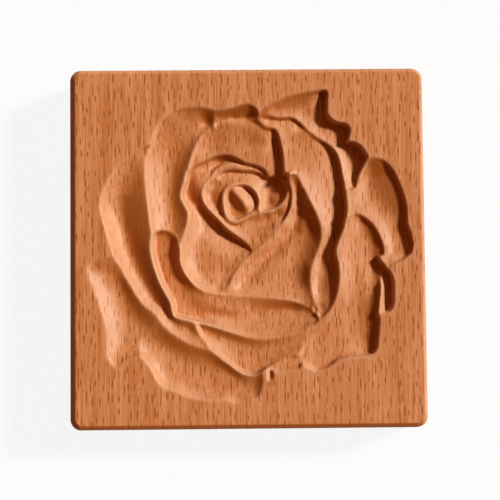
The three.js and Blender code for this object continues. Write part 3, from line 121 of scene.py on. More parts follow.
# The petals from the back to the front, each one cut over the ones before it.
PETALS = (
    Petal(name="scalloped back petal", wall=1.0, edge=(
        (3.3, 37.7), (4.3, 38.8), (6, 40), (8, 41), (10, 41.8), (12.2, 42.5), (14.5, 43), (17, 43.35),
        (19.5, 43.6), (21.5, 43.8), (22.3, 43.4), (22.5, 42.3), (22.35, 40), (22.3, 38), (22.5, 37),
        (23.2, 35.9), (24.5, 35), (26, 34.55), (27.3, 34.3), (28.2, 33.6), (28.65, 32.5), (28.4, 31.1),
        (28, 29.3), (28, 29.3), (29.2, 29.2), (30.4, 28.8), (31.4, 28.1), (32.3, 27.1), (33, 26),
        (33.5, 25), (33.5, 25), (32.4, 22.5), (31.5, 20.4), (31, 18.8), (30.8, 17.4), (30.2, 16.2),
        (29, 15.4), (26, 12), (22, 12), (20, 18), (17, 25), (12, 30), (5, 31.5), (1.5, 34.5), (2.6, 36.6)
    ), strokes=(
        ((6.3, 39.4, 0.4), (8.5, 40.5, 0.5), (11, 41.4, 0.6), (14.5, 42.2, 0.7), (17, 42.5, 0.9),
         (19.2, 42.8, 1.4)),
        ((11, 40.4, 1.3), (14.5, 40.9, 1.6), (17, 41.1, 1.9), (18.9, 41.2, 2.4)),
        ((8, 39.2, 1.4), (11, 39.4, 1.9), (14.5, 39.6, 2.3), (17, 39.6, 2.7), (18.9, 39.4, 3)),
        ((21.2, 42.3, 3.3), (21.2, 40, 3.5), (21, 37.5, 3.4), (21.8, 35.6, 3.4), (23.5, 34, 3.4),
         (26, 33.4, 3.7), (27.3, 32.2, 3.8), (27.2, 30.4, 3.7)),
        ((8, 38.2, 1.9), (11, 38, 2.3), (14.4, 37.6, 2.8), (17.4, 35.8, 3.1), (20.2, 33.3, 3.3),
         (23, 31, 3.2), (25.2, 29.2, 3.2), (26.8, 26.8, 3.3), (27.5, 24, 3.4), (27.9, 21, 3.4),
         (28.3, 18.4, 3)),
        ((3.1, 36.4, 1.6), (4.2, 35, 2)),
        ((5.2, 37.3, 1.4), (8, 36.9, 1.9), (11, 36.7, 2.1), (14, 36.1, 2.3), (16.4, 34.2, 2.5),
         (19.3, 31.6, 2.6), (22.4, 29.5, 2.7), (24.9, 27.2, 2.7), (26, 24.5, 2.7), (26.8, 21, 2.6),
         (27.2, 18, 2.4), (27.6, 15.6, 2.1)),
        ((29.6, 28, 3.6), (31, 26.4, 3.8), (31.3, 24.4, 3.8), (30.2, 22, 3.9), (29.5, 19.6, 3.7),
         (29.2, 17.4, 3)),
    )),
    Petal(name="right leaf", wall=0.8, edge=(
        (33.5, 25), (33.5, 25), (34.3, 24.7), (35.3, 24.8), (36.5, 24.5), (37.7, 24.1), (38.8, 23.3),
        (39.8, 22.2), (40.7, 20.8), (41.6, 19), (42.4, 17), (43.1, 15), (43.7, 12.8), (44.1, 10.5),
        (44.2, 8), (44.2, 6.3), (44.6, 5), (45.2, 3.5), (45.6, 2), (45.8, 0.4), (45.6, -0.9), (45, -2.1),
        (44, -3), (42.8, -3.9), (41.5, -4.6), (40.2, -5.1), (39.6, -5.6), (39.3, -6.8), (38.3, -6.4),
        (37.2, -5), (36.2, -4), (34, -4), (30, -2), (26, 1), (25, 8), (26, 13), (27.5, 16), (29.2, 16),
        (30, 16.9), (30.2, 18), (30.5, 19.4), (31.2, 21), (32.2, 22.8)
    ), strokes=(
        ((34.3, 24, 0.5), (36, 23.9, 0.6), (37.6, 23.3, 0.9)),
        ((34.6, 22.6, 1.5), (36, 22.2, 1.7), (37.6, 21.6, 1.7)),
        ((33.4, 23.2, 0.9), (32.3, 21.4, 1.4), (31.5, 19.6, 1.8), (31, 18, 2), (30.9, 16.6, 2.2)),
        ((33.8, 20, 2.8), (33, 17, 3.1), (33.4, 14, 3)),
        ((36, 19, 2.8), (36.4, 14, 3), (37.2, 10, 2.8), (39, 6.6, 2.4), (40, 2.4, 2.4), (40.6, -1.5, 2.2)),
        ((38.4, 18, 2.2), (39.2, 13, 2.5)),
        ((39.3, 20.4, 1.7), (41, 16, 1.7), (41.9, 11, 2), (42.4, 6, 2.4), (43.2, 1.5, 2.5), (43.4, -1, 2.1)),
        ((28.8, 13, 1.8), (30, 10.6, 1.7), (33, 8.9, 1.6), (35.6, 6.8, 1.6), (37.4, 3.9, 1.6),
         (38.5, 0.6, 1.6), (38.3, -2.6, 1.3)),
        ((41, -3.4, 1.2),),
    )),
    Petal(name="small right petal", wall=1.0, edge=(
        (37.4, -4.6), (38.3, -6.2), (39.2, -7.2), (39.8, -8.6), (40.15, -10.2), (40.25, -12), (40.2, -14),
        (40.05, -15.8), (39.6, -17.2), (38.7, -18.1), (37.6, -18.4), (36.5, -18.3), (36.6, -16.5),
        (36.9, -14), (37.1, -11.5), (36.4, -8), (36.4, -5.4)
    ), strokes=(
        ((37.4, -6.6, 2.6), (38.4, -9.5, 3.1), (38.8, -13, 3.2), (38.5, -16.4, 3)),
        ((37.5, -10, 2.4), (37.6, -14, 2.2), (37.4, -17, 1.7)),
    )),
    Petal(name="large right petal", wall=0.8, edge=(
        (29.5, 9.2), (30.5, 9.3), (32, 8.6), (33.5, 7.5), (35, 6), (36.1, 4.3), (37, 2.3), (37.7, 0.3),
        (37.95, -1.2), (37.7, -2.4), (36.9, -2.7), (36.2, -2.9), (36.2, -2.9), (37.2, -4.6), (37.5, -6),
        (37.2, -8.5), (36.8, -11), (36.5, -14), (36.1, -17), (35.7, -18.6), (36.1, -20), (36.1, -21.5),
        (35.9, -23.5), (35.6, -26), (35.2, -28.3), (34.4, -29.6), (33, -30.1), (31, -30.3), (28, -30.5),
        (26, -31), (24.3, -31.5), (22.7, -32.7), (21, -33.6), (19, -34.1), (17.2, -33.6), (15.8, -32.8),
        (14.8, -32.3), (14, -33.4), (12, -34), (10, -34.4), (8, -34.5), (6.5, -34.1), (5.5, -33.2),
        (4, -30), (4, -24), (10, -20), (16, -16), (20, -8), (22, 0), (25, 6)
    ), strokes=(
        ((29, 8.2, 1.6), (26.9, 4, 1.6), (25.6, 0, 1.7), (25.3, -3, 1.8), (26, -8, 1.8), (25.2, -13, 1.9),
         (22.8, -18, 2), (20.5, -20.8, 2.2)),
        ((29.9, 5, 2.6), (29.9, 0, 3), (30.2, -8, 3), (29.8, -14, 2.8), (28, -19, 2.9), (25, -24, 3)),
        ((31.2, 6.8, 2.9), (32.4, 3.6, 3.1), (33.4, 0, 3.4), (33.2, -5, 3.3), (32.9, -10, 2.8),
         (32.6, -15, 2.5), (32.1, -20, 2.8), (31.4, -26, 2.9)),
        ((33.9, 4, 3), (35, 1, 3.3), (35.3, -1.6, 3.2), (35, -5, 3.4), (34.8, -9, 3.1), (34.3, -14.5, 2.1),
         (33.8, -20, 2.3), (33.1, -26, 2.6)),
        ((32.8, 7.2, 2.6), (34.9, 4.5, 2.4), (36.2, 1.5, 2.6), (36.8, -1.2, 2.5), (36.2, -4.6, 3.1),
         (36, -8, 2.8), (35.8, -11, 2.1), (35.3, -14.5, 1.5), (34.9, -20, 1.6), (34.4, -26, 2)),
        ((33, -28.9, 2.4), (28, -29.4, 2.2), (22, -31.4, 2.2), (19, -32.8, 1.9), (16, -31.6, 1.9)),
        ((14, -25, 2.4), (20, -26.5, 2.8)),
        ((8, -27, 2.2), (11, -29.8, 2.3)),
        ((13, -32.4, 1.4), (10, -33.2, 1.3), (7, -33, 1.2)),
    )),
    Petal(name="lower left leaf", wall=1.2, edge=(
        (-44.6, -5.5), (-44.4, -4.2), (-43.6, -3.3), (-42, -2.7), (-40, -2.2), (-37, -1.8), (-34, -3),
        (-28, -8), (-24, -14), (-20, -20), (-20, -26), (-26, -29), (-30, -29.6), (-31.5, -30.1),
        (-33, -30.6), (-34.6, -31.3), (-35.8, -32.2), (-36.5, -32.7), (-37.3, -32.3), (-38.3, -31.3),
        (-39.1, -30.2), (-39.4, -29), (-39.3, -27), (-39.2, -25), (-39.4, -22.5), (-39.8, -20),
        (-40.6, -17.5), (-41.5, -15), (-42.5, -12.5), (-43.4, -10), (-44.2, -7.6)
    ), strokes=(
        ((-42.9, -4.4, 0.3), (-40.4, -3.7, 0.4), (-37.6, -3.3, 0.5)),
        ((-43.3, -6, 0.6), (-42.2, -10, 0.6), (-40.3, -15, 0.7), (-38.8, -20, 0.7), (-38.2, -25, 0.7),
         (-38.1, -28.6, 0.7), (-37, -31, 0.8), (-34, -30, 1), (-31, -28.8, 1.1)),
        ((-41.4, -7, 1.3), (-40, -11, 1.6), (-38, -16, 1.8), (-36.8, -21, 1.8), (-36.4, -25, 1.8),
         (-36.2, -28.4, 1.5)),
        ((-38.4, -7, 1.8), (-37.2, -11, 2.4), (-35.2, -16, 2.7), (-33.6, -20.6, 2.8), (-32.4, -24.6, 2.5),
         (-32, -27, 1.8)),
        ((-36.6, -6.6, 1.7), (-35.2, -9.6, 2.2), (-32.8, -14.4, 2.3), (-30.2, -18.6, 2.3),
         (-28, -21.8, 2.3)),
        ((-36, -4.8, 1.2), (-34.8, -7.8, 1.5), (-31.9, -12.8, 1.5), (-28.7, -17.2, 1.5),
         (-25.9, -20.4, 1.4)),
    )),
    Petal(name="petal tip at the bottom", wall=0.6, edge=(
        (5.1, -32.8), (5.8, -33.2), (6.4, -34.4), (6.5, -35.6), (6.1, -36.7), (5.6, -37.1), (5.2, -36.4),
        (4.9, -35)
    ), strokes=(
        ((5.6, -33.9, 0.8), (5.8, -35.4, 1), (5.6, -36.4, 0.8)),
    )),
    Petal(name="bottom petal", wall=4.0, edge=(
        (-30, -28), (-29.6, -29.8), (-28.5, -31.2), (-27.4, -32.6), (-26.5, -34.2), (-25.7, -35.9),
        (-24.6, -37.4), (-23, -38.6), (-21, -39.3), (-19.3, -39.8), (-17.5, -40.7), (-15.5, -41.4),
        (-13, -41.9), (-10, -42), (-7.5, -41.9), (-5.8, -42.1), (-4.2, -42.8), (-2.6, -43.1), (-1, -42.7),
        (0.7, -42.1), (2, -41.8), (2.8, -41), (3.3, -39.6), (3.7, -38), (3.8, -36.5), (3, -34), (-3, -31),
        (-8, -26), (-16, -22), (-24, -19), (-28, -22), (-30, -25)
    ), strokes=(
        ((-27.5, -25, 2.6), (-22, -28.3, 2.7), (-17, -31.3, 2.7), (-12, -33.2, 2.6), (-8.7, -34.2, 2.5),
         (-5, -36.6, 2.2), (-1.5, -38, 1.8), (1.6, -38.4, 1.4)),
        ((-26, -32, 2), (-22.6, -35.4, 2.3), (-17, -38, 2.3), (-11, -38.8, 2.2), (-5, -39.8, 1.9),
         (0, -40.4, 1.3)),
        ((-26.2, -22.6, 2), (-21.8, -25.9, 2.1), (-16.4, -28.9, 2.1), (-11, -30.9, 2.1),
         (-7.6, -32.7, 2.1), (-3.6, -35.6, 2)),
        ((-25.7, -20.4, 1.4), (-21.6, -24.1, 1.4), (-16, -27.1, 1.4), (-10.6, -29, 1.3),
         (-6.5, -31.5, 1.1), (-2.5, -34.5, 1.1), (1, -35.6, 1), (3.3, -35, 0.9)),
    )),
    Petal(name="large left petal", wall=1.0, edge=(
        (-26.8, 28.6), (-28.5, 28.3), (-30.3, 27.3), (-31.8, 26.1), (-33.5, 24.8), (-35, 23.6),
        (-36.6, 22.1), (-37.8, 20.4), (-39, 18.2), (-39.9, 16), (-40.5, 14), (-40.7, 12), (-40.5, 10),
        (-40, 8), (-39.4, 6), (-38.8, 4), (-38.2, 2), (-37.6, 0), (-37, -2), (-36, -4.2), (-34.8, -6.5),
        (-33.5, -8.7), (-32.2, -11), (-30.9, -13), (-29.5, -15), (-28, -16.6), (-26.4, -17.8),
        (-25.2, -19), (-24.2, -20.6), (-22.8, -22.2), (-21, -23.6), (-19, -25), (-17, -26.1), (-15, -27.1),
        (-13, -27.8), (-10.5, -28.3), (-9, -26), (-12, -20), (-18, -14), (-20, 0), (-22, 14), (-24, 26)
    ), strokes=(
        ((-30.2, 26.2, 0.5), (-33, 24.1, 0.6), (-36.5, 20.4, 0.9), (-38.5, 16, 1.4), (-39.3, 12, 1.8),
         (-38.6, 8, 2), (-37.4, 4, 2.1), (-36.2, 0, 2.2), (-34.2, -5, 2.2), (-31.4, -10, 2.1),
         (-28.3, -15, 2), (-25, -17.2, 1.9), (-22, -21.2, 1.9), (-18.3, -23.9, 1.8), (-14.5, -25.9, 1.6),
         (-11.2, -27, 1.3)),
        ((-32, 22.4, 1.1), (-35, 17.5, 2), (-36.7, 13.5, 2.9), (-37.2, 10.5, 3.3), (-36.5, 7, 3.5),
         (-35.4, 3, 3.5), (-34.3, -1, 3.5), (-32.3, -5.5, 3.4), (-29.7, -10.3, 3.2), (-26.8, -14.8, 3),
         (-23.8, -17.2, 2.7), (-20.6, -20.6, 2.4), (-16, -23, 2.1), (-13, -24.9, 1.8)),
        ((-30.4, 20.5, 1.2), (-31.6, 16, 1.8), (-32.8, 11.5, 2.6), (-32.4, 8, 2.8), (-31.4, 4, 2.8),
         (-30.5, 0, 2.8), (-29.2, -5, 2.8), (-27.2, -9.8, 2.6), (-24.6, -14, 2.4), (-22.6, -16.8, 2.1)),
        ((-28.8, 26, 0.8), (-29, 20, 0.9), (-29.2, 14, 1.1), (-28.6, 9, 1.2), (-28, 4, 1.2),
         (-27.6, 0, 1.1), (-26.2, -5, 1), (-25, -9, 0.9), (-22.7, -13.2, 0.8), (-21.4, -17, 0.9),
         (-20.6, -18.9, 1), (-15.5, -20.4, 1.2), (-13.6, -23.4, 1.3)),
    )),
    Petal(name="upper left petal", wall=1.0, edge=(
        (-26.8, 28.6), (-26.4, 29.8), (-25.9, 31.3), (-25.3, 32.9), (-24.5, 34.5), (-23.4, 36),
        (-22, 37.3), (-20.3, 38.3), (-18.4, 39), (-16.2, 39.4), (-14, 39.45), (-12, 39.2), (-10.3, 38.8),
        (-9, 38.35), (-8.4, 37.2), (-8.4, 35.5), (-10, 31), (-12, 26), (-14, 18), (-14, 8), (-16, 0),
        (-18.5, -1.5), (-20, 1), (-22, 3), (-24.5, 3.5), (-26.2, 4.2), (-26.6, 6), (-26.9, 8),
        (-27.2, 10.5), (-27.5, 13), (-27.8, 16), (-28.1, 19), (-28.15, 22), (-28, 25), (-27.3, 26.6)
    ), strokes=(
        ((-21.6, 36.6, 0.5), (-18.2, 38.2, 0.5), (-14, 38.6, 0.5), (-10.6, 37.9, 0.9)),
        ((-20.5, 34.8, 1.3), (-17.5, 36.2, 1.3), (-14, 36.8, 1.5), (-11.2, 36.4, 2.5)),
        ((-19, 32.4, 2.4), (-16.4, 33.8, 2.4), (-13.2, 34.6, 2.9), (-11.3, 34.9, 3.3)),
        ((-22.8, 35, 1), (-24.9, 30.5, 1.8), (-26.6, 25, 2.4), (-26.9, 20, 2.6), (-26.5, 15, 2.7),
         (-25.9, 9, 2.7), (-25.7, 5.6, 2.6)),
        ((-20.8, 32.8, 2), (-22.8, 29, 2.9), (-24.6, 25, 3.4), (-25, 20, 3.6), (-24.8, 15, 3.7),
         (-24.2, 9, 3.7), (-24, 5.8, 3.4)),
        ((-16.6, 31.4, 3.2), (-18.8, 28.6, 3.7), (-20.8, 25, 4.2), (-21.4, 20, 4.3), (-21.4, 15, 4.4),
         (-20.6, 9, 4.3), (-20.6, 5.4, 4)),
        ((-11.6, 33.4, 2.8), (-14.6, 30.6, 3), (-17, 27.2, 3.4), (-18.6, 23, 3.5), (-19.4, 18, 3.6),
         (-19.4, 14, 3.6), (-18, 9, 3.3), (-18.6, 5, 3.2)),
        ((-10, 33.6, 2.3), (-13, 31, 2.4), (-15.4, 27, 2.4), (-16.8, 23, 2.5), (-18, 17, 2.6),
         (-17.6, 13.4, 2.6), (-16.6, 9, 2.5), (-17.6, 4, 2.5), (-19, 0, 2.4)),
    )),
    Petal(name="small top petal", wall=0.8, edge=(
        (-9, 38.4), (-7.2, 38.55), (-5.5, 38.8), (-4, 39.3), (-2.4, 39.8), (-1, 40.1), (0.3, 40.1),
        (1.6, 39.6), (2.5, 38.8), (3.1, 37.8), (3.3, 36.8), (2.8, 35.6), (-2, 33), (-8, 33), (-9.3, 35.5)
    ), strokes=(
        ((-8.3, 37.7, 0.8), (-7, 38, 0.6), (-4, 38.7, 0.6), (-1, 39.5, 0.6), (0.8, 39.5, 0.8)),
        ((-8.2, 36.6, 1.7), (-6.4, 37, 2), (-3.6, 37.6, 2.3), (-0.4, 38.4, 1.8), (1.2, 38.2, 1.6),
         (2.2, 37.4, 1.8)),
        ((-8.3, 35.2, 2.3), (-6.4, 36, 2.7), (-3.6, 36.4, 3.3), (0, 36.8, 2.8), (2, 36.4, 2.2)),
        ((-6, 35, 2.9), (0, 35.2, 2.9), (3, 35, 2.2)),
    )),
    Petal(name="middle back petal", wall=1.0, edge=(
        (-16, 22.3), (-15.7, 24), (-15.1, 26), (-14.4, 28), (-13.6, 29.7), (-12.6, 31.3), (-11.3, 32.6),
        (-9.8, 33.7), (-8.3, 34.7), (-6.8, 35.4), (-5.2, 35.9), (-3.5, 36.2), (-1.5, 36.3), (0.5, 36.2),
        (2.3, 36), (3.6, 35.2), (4.7, 34.2), (5.8, 33.8), (7.3, 33.6), (8.6, 32.8), (9.5, 31),
        (10.1, 28.5), (10.6, 25), (10.9, 22), (11.2, 19), (6, 16), (0, 18), (-10, 18), (-15.5, 20)
    ), strokes=(
        ((-14.2, 25, 3.3), (-12.4, 30, 3.1), (-10, 32.4, 2.9), (-7, 34.2, 2.7), (-3, 35.1, 2.6),
         (0, 35.4, 2.8), (2, 35.1, 2.8), (3.4, 34.2, 2.8), (4.7, 33.3, 2.9), (5.7, 32.8, 3.1)),
        ((-9, 31, 3.4), (-5, 33.2, 3), (0, 33.4, 3), (3.2, 32.3, 3), (5.4, 31.2, 3.4)),
        ((-9.5, 27.6, 3.9), (-5, 29.5, 3.6), (0, 30, 3.7), (4, 28.6, 4.1)),
        ((7, 30.4, 4.4), (7.5, 27, 4.8), (7.7, 22, 5.2)),
        ((-14.5, 23.8, 3.6), (-10, 25.9, 3.9), (-5, 26.9, 4), (0, 24.8, 4.4), (4, 23, 4.8), (6, 20.5, 5.3)),
    )),
    Petal(name="lower front petal", wall=0.9, edge=(
        (-15.2, -20), (-14.5, -21.3), (-13.8, -22.8), (-12.9, -24.4), (-11.7, -26), (-10.8, -27.5),
        (-9.8, -28.5), (-8.5, -29.5), (-7, -30.8), (-5.3, -32), (-3.7, -33.2), (-2, -34.4), (-0.5, -34.9),
        (1.2, -35.1), (2.8, -34.7), (4.2, -33.9), (5.6, -33.1), (7.5, -32), (10, -31), (12, -30.4),
        (14, -30.3), (16, -27), (16, -22), (8, -20), (-4, -19), (-12, -18)
    ), strokes=(
        ((-14.1, -20.4, 1.6), (-9, -22, 1.8), (-4, -23.6, 2.2), (1, -25, 2.5), (5, -25.2, 2.5),
         (10, -24.4, 2.6), (14, -23.2, 2.5)),
        ((-13.4, -21.6, 2.4), (-9, -23.2, 2.8), (-4, -24.9, 3.1), (1, -26.3, 3.1), (5, -26.5, 3.1),
         (10, -25.6, 2.9), (14, -24.4, 2.6)),
        ((-12, -23.8, 2.8), (-8, -26.4, 3.2), (-3, -28.8, 3.5), (3, -29.6, 3.5), (8, -28.4, 3.1),
         (13.6, -27, 2.5)),
        ((-10.8, -26.2, 2.4), (-6.6, -29.4, 2.9), (-2, -32.4, 3.1), (3, -32.8, 2.9), (8, -30.6, 2.3),
         (13, -29.2, 1.8)),
    )),
    Petal(name="crescent petal", wall=1.0, edge=(
        (-26.2, 4), (-25.6, 4.6), (-24.6, 5), (-23.3, 5.15), (-22.2, 5), (-21.1, 4.4), (-20.2, 3.4),
        (-19.4, 1.9), (-18.9, 0.6), (-16, 0), (-12, -4), (0, -8), (14, -10), (17, -13), (18, -16.5),
        (19.7, -19.7), (18.8, -21.3), (17, -22.3), (15, -23), (13, -23.7), (11, -24.2), (9, -24.7),
        (7, -25.1), (5, -25.35), (3, -25.35), (1, -25.1), (-1, -24.6), (-3, -23.9), (-5, -23.2),
        (-7, -22.5), (-9, -21.8), (-11, -21.1), (-13, -20.6), (-15, -20.1), (-17, -19.6), (-19, -19.1),
        (-20.3, -18.6), (-20.3, -18.6), (-20.8, -17), (-21, -15.3), (-21.8, -13.6), (-23, -11.4),
        (-24.1, -9.2), (-25, -6.8), (-25.8, -4.2), (-26.4, -1.4), (-26.55, 1), (-26.4, 2.8)
    ), strokes=(
        ((-9, -20.3, 4.1), (-3, -22.7, 3.5), (3, -24.2, 3.2), (9, -23.6, 3.2), (14, -22.2, 3.3),
         (17.4, -21, 3.2)),
        ((-24.5, 3.2, 5), (-24.4, -1, 5.3), (-23.6, -4, 5.3), (-22.1, -8, 5.2), (-20.2, -12.2, 5.1),
         (-19, -15.8, 5), (-15.6, -18.2, 5), (-9, -19.3, 5.3), (-4, -20.3, 5.4), (0, -19.6, 5.8),
         (3, -18.7, 6.1), (8, -17.5, 6.3), (13, -17.4, 6), (16.4, -17.9, 5)),
        ((-22, 2.6, 4.8), (-21.6, -1.5, 4.9), (-20.3, -6.4, 4.8), (-17.3, -10.9, 4.6), (-14, -14.2, 4.4),
         (-9, -16.4, 4.8), (-3, -17.4, 5.3), (2, -16.8, 5.8)),
        ((0, -22, 4.4), (4, -21.2, 4.8), (9, -20.4, 5), (14, -19.8, 4.6), (17, -19.4, 4.1)),
        ((-20.4, 2.2, 4), (-19.9, -2.4, 4), (-18.8, -6.7, 4), (-15.8, -10.7, 4), (-12, -12.9, 4.2),
         (-8, -14.1, 4.7), (-3, -14.6, 5), (3, -15.2, 5.3), (8, -15.5, 5.4), (13, -16, 5.4),
         (16.4, -17.1, 4.9)),
        ((-19.4, 2, 2.5), (-19, -2.5, 2.4), (-18, -6.4, 2.6), (-15.2, -9.8, 3), (-11.8, -11.4, 3.6),
         (-8, -12.4, 4.2), (-3, -12.9, 4.6), (3, -13.4, 4.6), (8, -13.8, 4.5), (13, -14.7, 4.3),
         (16.2, -15.9, 4.2)),
    )),
    Petal(name="bud, left half", wall=1.0, edge=(
        (-16.3, 22), (-16.9, 20.3), (-17.2, 18.8), (-17.8, 17.2), (-18.2, 15.8), (-18.2, 14.4),
        (-17.6, 13), (-16.9, 11.6), (-16.4, 10.2), (-16.3, 8.8), (-16.5, 7.2), (-17.1, 5.4), (-17.8, 3.4),
        (-18.4, 1.2), (-18.8, -1), (-18.9, -3), (-18.5, -4.8), (-17.7, -6.4), (-16.6, -8), (-15.2, -9.6),
        (-13.6, -10.9), (-11.8, -11.8), (-9.8, -12.2), (-7.8, -12.5), (-6, -12.7), (-3, -12.9), (0, -13.2),
        (3, -13.4), (6, -13.6), (9, -13.9), (11.5, -14.3), (13.8, -14.9), (15.8, -15.7), (17.5, -16.8),
        (18.6, -18.1), (19.5, -17), (20, -8), (20, 4), (16, 14), (11, 20), (6.3, 19.8), (5.6, 21.2),
        (4.5, 22.4), (3, 23.2), (1.3, 23.7), (-0.3, 24), (-1.7, 24.7), (-3.2, 25.5), (-4.8, 26.2),
        (-6.5, 26.4), (-8.5, 26.1), (-10.3, 25.4), (-12.2, 24.5), (-14.2, 23.5)
    ), strokes=(
        ((-15.8, 10.5, 3.9), (-15.7, 7.6, 4.1), (-16.4, 5, 3.9), (-17.6, 1.5, 3.8), (-18, -2, 3.8),
         (-17.4, -5, 3.9), (-15.6, -8, 4.2), (-13.2, -10.3, 4.6)),
        ((-15.8, 20.6, 5.4), (-16.4, 18.4, 6), (-16.9, 15.9, 6.2), (-16.1, 13.2, 6.4), (-15.2, 10.8, 5.9),
         (-14.2, 9.4, 6.5), (-14, 7, 6.2), (-14.8, 4, 5.7), (-15.8, 0, 5.5), (-15.6, -4, 5.5),
         (-13.6, -7.4, 5.6), (-8.5, -11, 5.8)),
        ((-14, 20.4, 5.2), (-14.2, 17.6, 5), (-13.7, 14.6, 5.1), (-13.2, 12, 6.2), (-11.8, 9.2, 7.1),
         (-10.2, 7, 7.5), (-8.2, 4.7, 7.6), (-5.4, 2.5, 7.7), (-3, 0.8, 7.4), (-1.4, -0.6, 6.9)),
        ((-12.3, 2.9, 6.4), (-9.4, 0.2, 6.4), (-5.8, -1.9, 6.3)),
        ((-12.5, -2.6, 6.1), (-8, -5, 6.2), (-6.4, -6, 6.2)),
        ((-6.8, -10.8, 5.5), (-5.5, -8.3, 5.7), (-4.4, -6.3, 5.8), (-2.9, -4.2, 5.8), (-1.2, -2.5, 5.8)),
        ((-10.6, -11, 5.1), (-7.4, -11.6, 5.3), (-4.4, -12, 5.4)),
        ((-11, -7.4, 5.8), (-6.8, -9, 6)),
        ((-14.6, 22.2, 5), (-13, 23.1, 5.3), (-10.4, 24.3, 5.6), (-7, 25.4, 6.2), (-4.6, 25.2, 6.3)),
        ((-13.6, 21.2, 5.4), (-11.8, 22.2, 5.7), (-9.8, 23.3, 6.2), (-7.6, 24.6, 6.8)),
        ((-12.4, 19.8, 5), (-11.2, 21, 5.1)),
        ((-2, 24.1, 6.6), (0.5, 23.3, 6.7), (3, 22.5, 6.9), (4.8, 21.3, 6.9)),
        ((4, -8, 6),),
        ((12, -8, 6),),
        ((3, 0, 6),),
        ((10, 8, 6),),
        ((16, 0, 6),),
    )),
    Petal(name="second layer of the bud", wall=1.0, edge=(
        (-13.1, 15), (-13, 16.4), (-12.5, 17.8), (-11.5, 19), (-10.7, 20), (-10.2, 21.2), (-9.5, 22.4),
        (-8.4, 23.4), (-7, 24.1), (-5.3, 24.5), (-3.7, 24.6), (-2, 24.3), (-0.3, 23.7), (1.3, 23.4),
        (3, 22.9), (4.5, 22), (5.7, 20.8), (6.3, 19.8), (7.5, 19), (10, 20.5), (12, 18), (12.6, 14),
        (12, 11), (10.4, 8), (7, 3.5), (3.5, 0.3), (1, -1.3), (0.6, -0.4), (-0.6, 1), (-2, 2.1),
        (-3.4, 3.1), (-4.8, 4.1), (-6, 5), (-7, 6), (-8.2, 7.4), (-9.3, 8.6), (-10.4, 9.8), (-11.5, 11.1),
        (-12.4, 12.5), (-12.9, 13.8)
    ), strokes=(
        ((-8.2, 22.6, 4.9), (-9.2, 21, 4.8), (-10.4, 19.2, 4.7), (-11.7, 17.4, 4.6), (-12.2, 15.2, 4.6),
         (-12, 13.4, 4.7), (-10.9, 11.9, 4.8), (-9.6, 10.5, 4.9), (-8, 9, 5), (-6.2, 7.2, 5.1),
         (-4.2, 5.7, 5.3), (-2.2, 4, 5.5), (-0.2, 2.3, 5.7), (1.1, 0.6, 5.8)),
        ((-6.4, 23.6, 5), (-3.6, 23.6, 5.2), (-1, 23, 5.4), (2, 22.3, 5.7), (4.4, 21.2, 5.9)),
        ((-9.6, 18.4, 5.8), (-10.8, 15.6, 6), (-10.4, 13.4, 6.2), (-9.2, 11.4, 6.3), (-7.8, 9.8, 6.2)),
        ((-8.3, 17, 5.8), (-8.3, 13.8, 5.9), (-7.6, 11.4, 6)),
        ((-3.6, 6.2, 5.8), (-0.6, 7, 6), (2.6, 8, 6.1), (5.4, 8.8, 6.3), (8.4, 9.8, 6.3)),
        ((1.4, 3.4, 6), (4.4, 5, 6.1), (6.8, 7, 6.2)),
        ((2.4, 1.4, 5.7), (3.9, 2.6, 5.7), (5.4, 3.8, 5.6), (6.8, 5.2, 5.5), (8, 6.7, 5.4)),
        ((3.4, 9.6, 5.4), (5.2, 10.2, 5.3), (7, 10.6, 5.2), (9, 11.7, 5), (10.5, 13.3, 4.8),
         (11.2, 15.4, 4.6)),
        ((11.6, 12.6, 5.4), (10.4, 10.4, 5.9)),
        ((5.5, 14, 6),),
    )),
    Petal(name="third layer of the bud", wall=0.8, edge=(
        (-8.2, 20.3), (-7.3, 21.5), (-6, 22.1), (-4, 22.3), (-2, 22.1), (0, 22), (2, 21.8), (3.7, 21.3),
        (5, 20.5), (6.4, 20.2), (8, 20.3), (9.6, 19.8), (10.6, 18.4), (11.1, 16.4), (10.6, 14.4),
        (9.7, 12.9), (8.4, 11.7), (6.8, 11), (5, 10.6), (3.7, 10.1), (1, 12), (-2, 15), (-5, 17),
        (-7, 18.5)
    ), strokes=(
        ((-6.7, 20.3, 6.2), (-3.6, 21, 6.5), (0, 20.9, 6.7), (3, 20.3, 7), (5.4, 18.8, 7.3),
         (7.6, 19.2, 7.3)),
        ((-5.6, 19, 5.9), (-2, 19.5, 5.9), (1.6, 18.7, 5.8), (3.2, 16.6, 5.8), (3.9, 14, 5.9),
         (4.2, 11.6, 6)),
        ((5.6, 17, 7.7), (5.2, 14.6, 7.7), (5, 12.6, 7.3)),
        ((7.6, 16.6, 7.5), (7.2, 14.2, 7.2)),
        ((9.8, 18.4, 6.9), (10, 16.4, 6.9), (9.4, 14.2, 6.5)),
    )),
    Petal(name="ring round the bud's heart", wall=0.9, edge=(
        (-7.5, 13), (-7.5, 14.6), (-7.1, 16.2), (-6.2, 17.6), (-5, 18.4), (-3.5, 18.7), (-2, 18.7),
        (-0.6, 18.3), (0.7, 17.3), (1.9, 15.8), (2.8, 14.2), (3.1, 12.4), (3.1, 10.8), (3.6, 10),
        (2.2, 9.2), (0.8, 8.5), (-0.6, 7.7), (-2, 7), (-3.4, 6.6), (-4.8, 6.9), (-5.9, 7.6), (-6.7, 8.8),
        (-7.2, 10.3)
    ), strokes=(
        ((-0.4, 17.6, 5.4), (-2, 18, 5.1), (-4, 17.9, 4.9), (-5.6, 17.1, 4.8), (-6.5, 15.4, 4.7),
         (-6.7, 13, 4.7), (-6.4, 10.8, 4.8), (-5.5, 8.8, 4.9), (-4, 7.6, 5), (-2.2, 7.9, 5.1),
         (-0.4, 8.6, 5.2), (1.6, 9.5, 5.3), (3, 10.4, 5.5)),
        ((1.6, 15.4, 5.8), (2.6, 13, 5.8)),
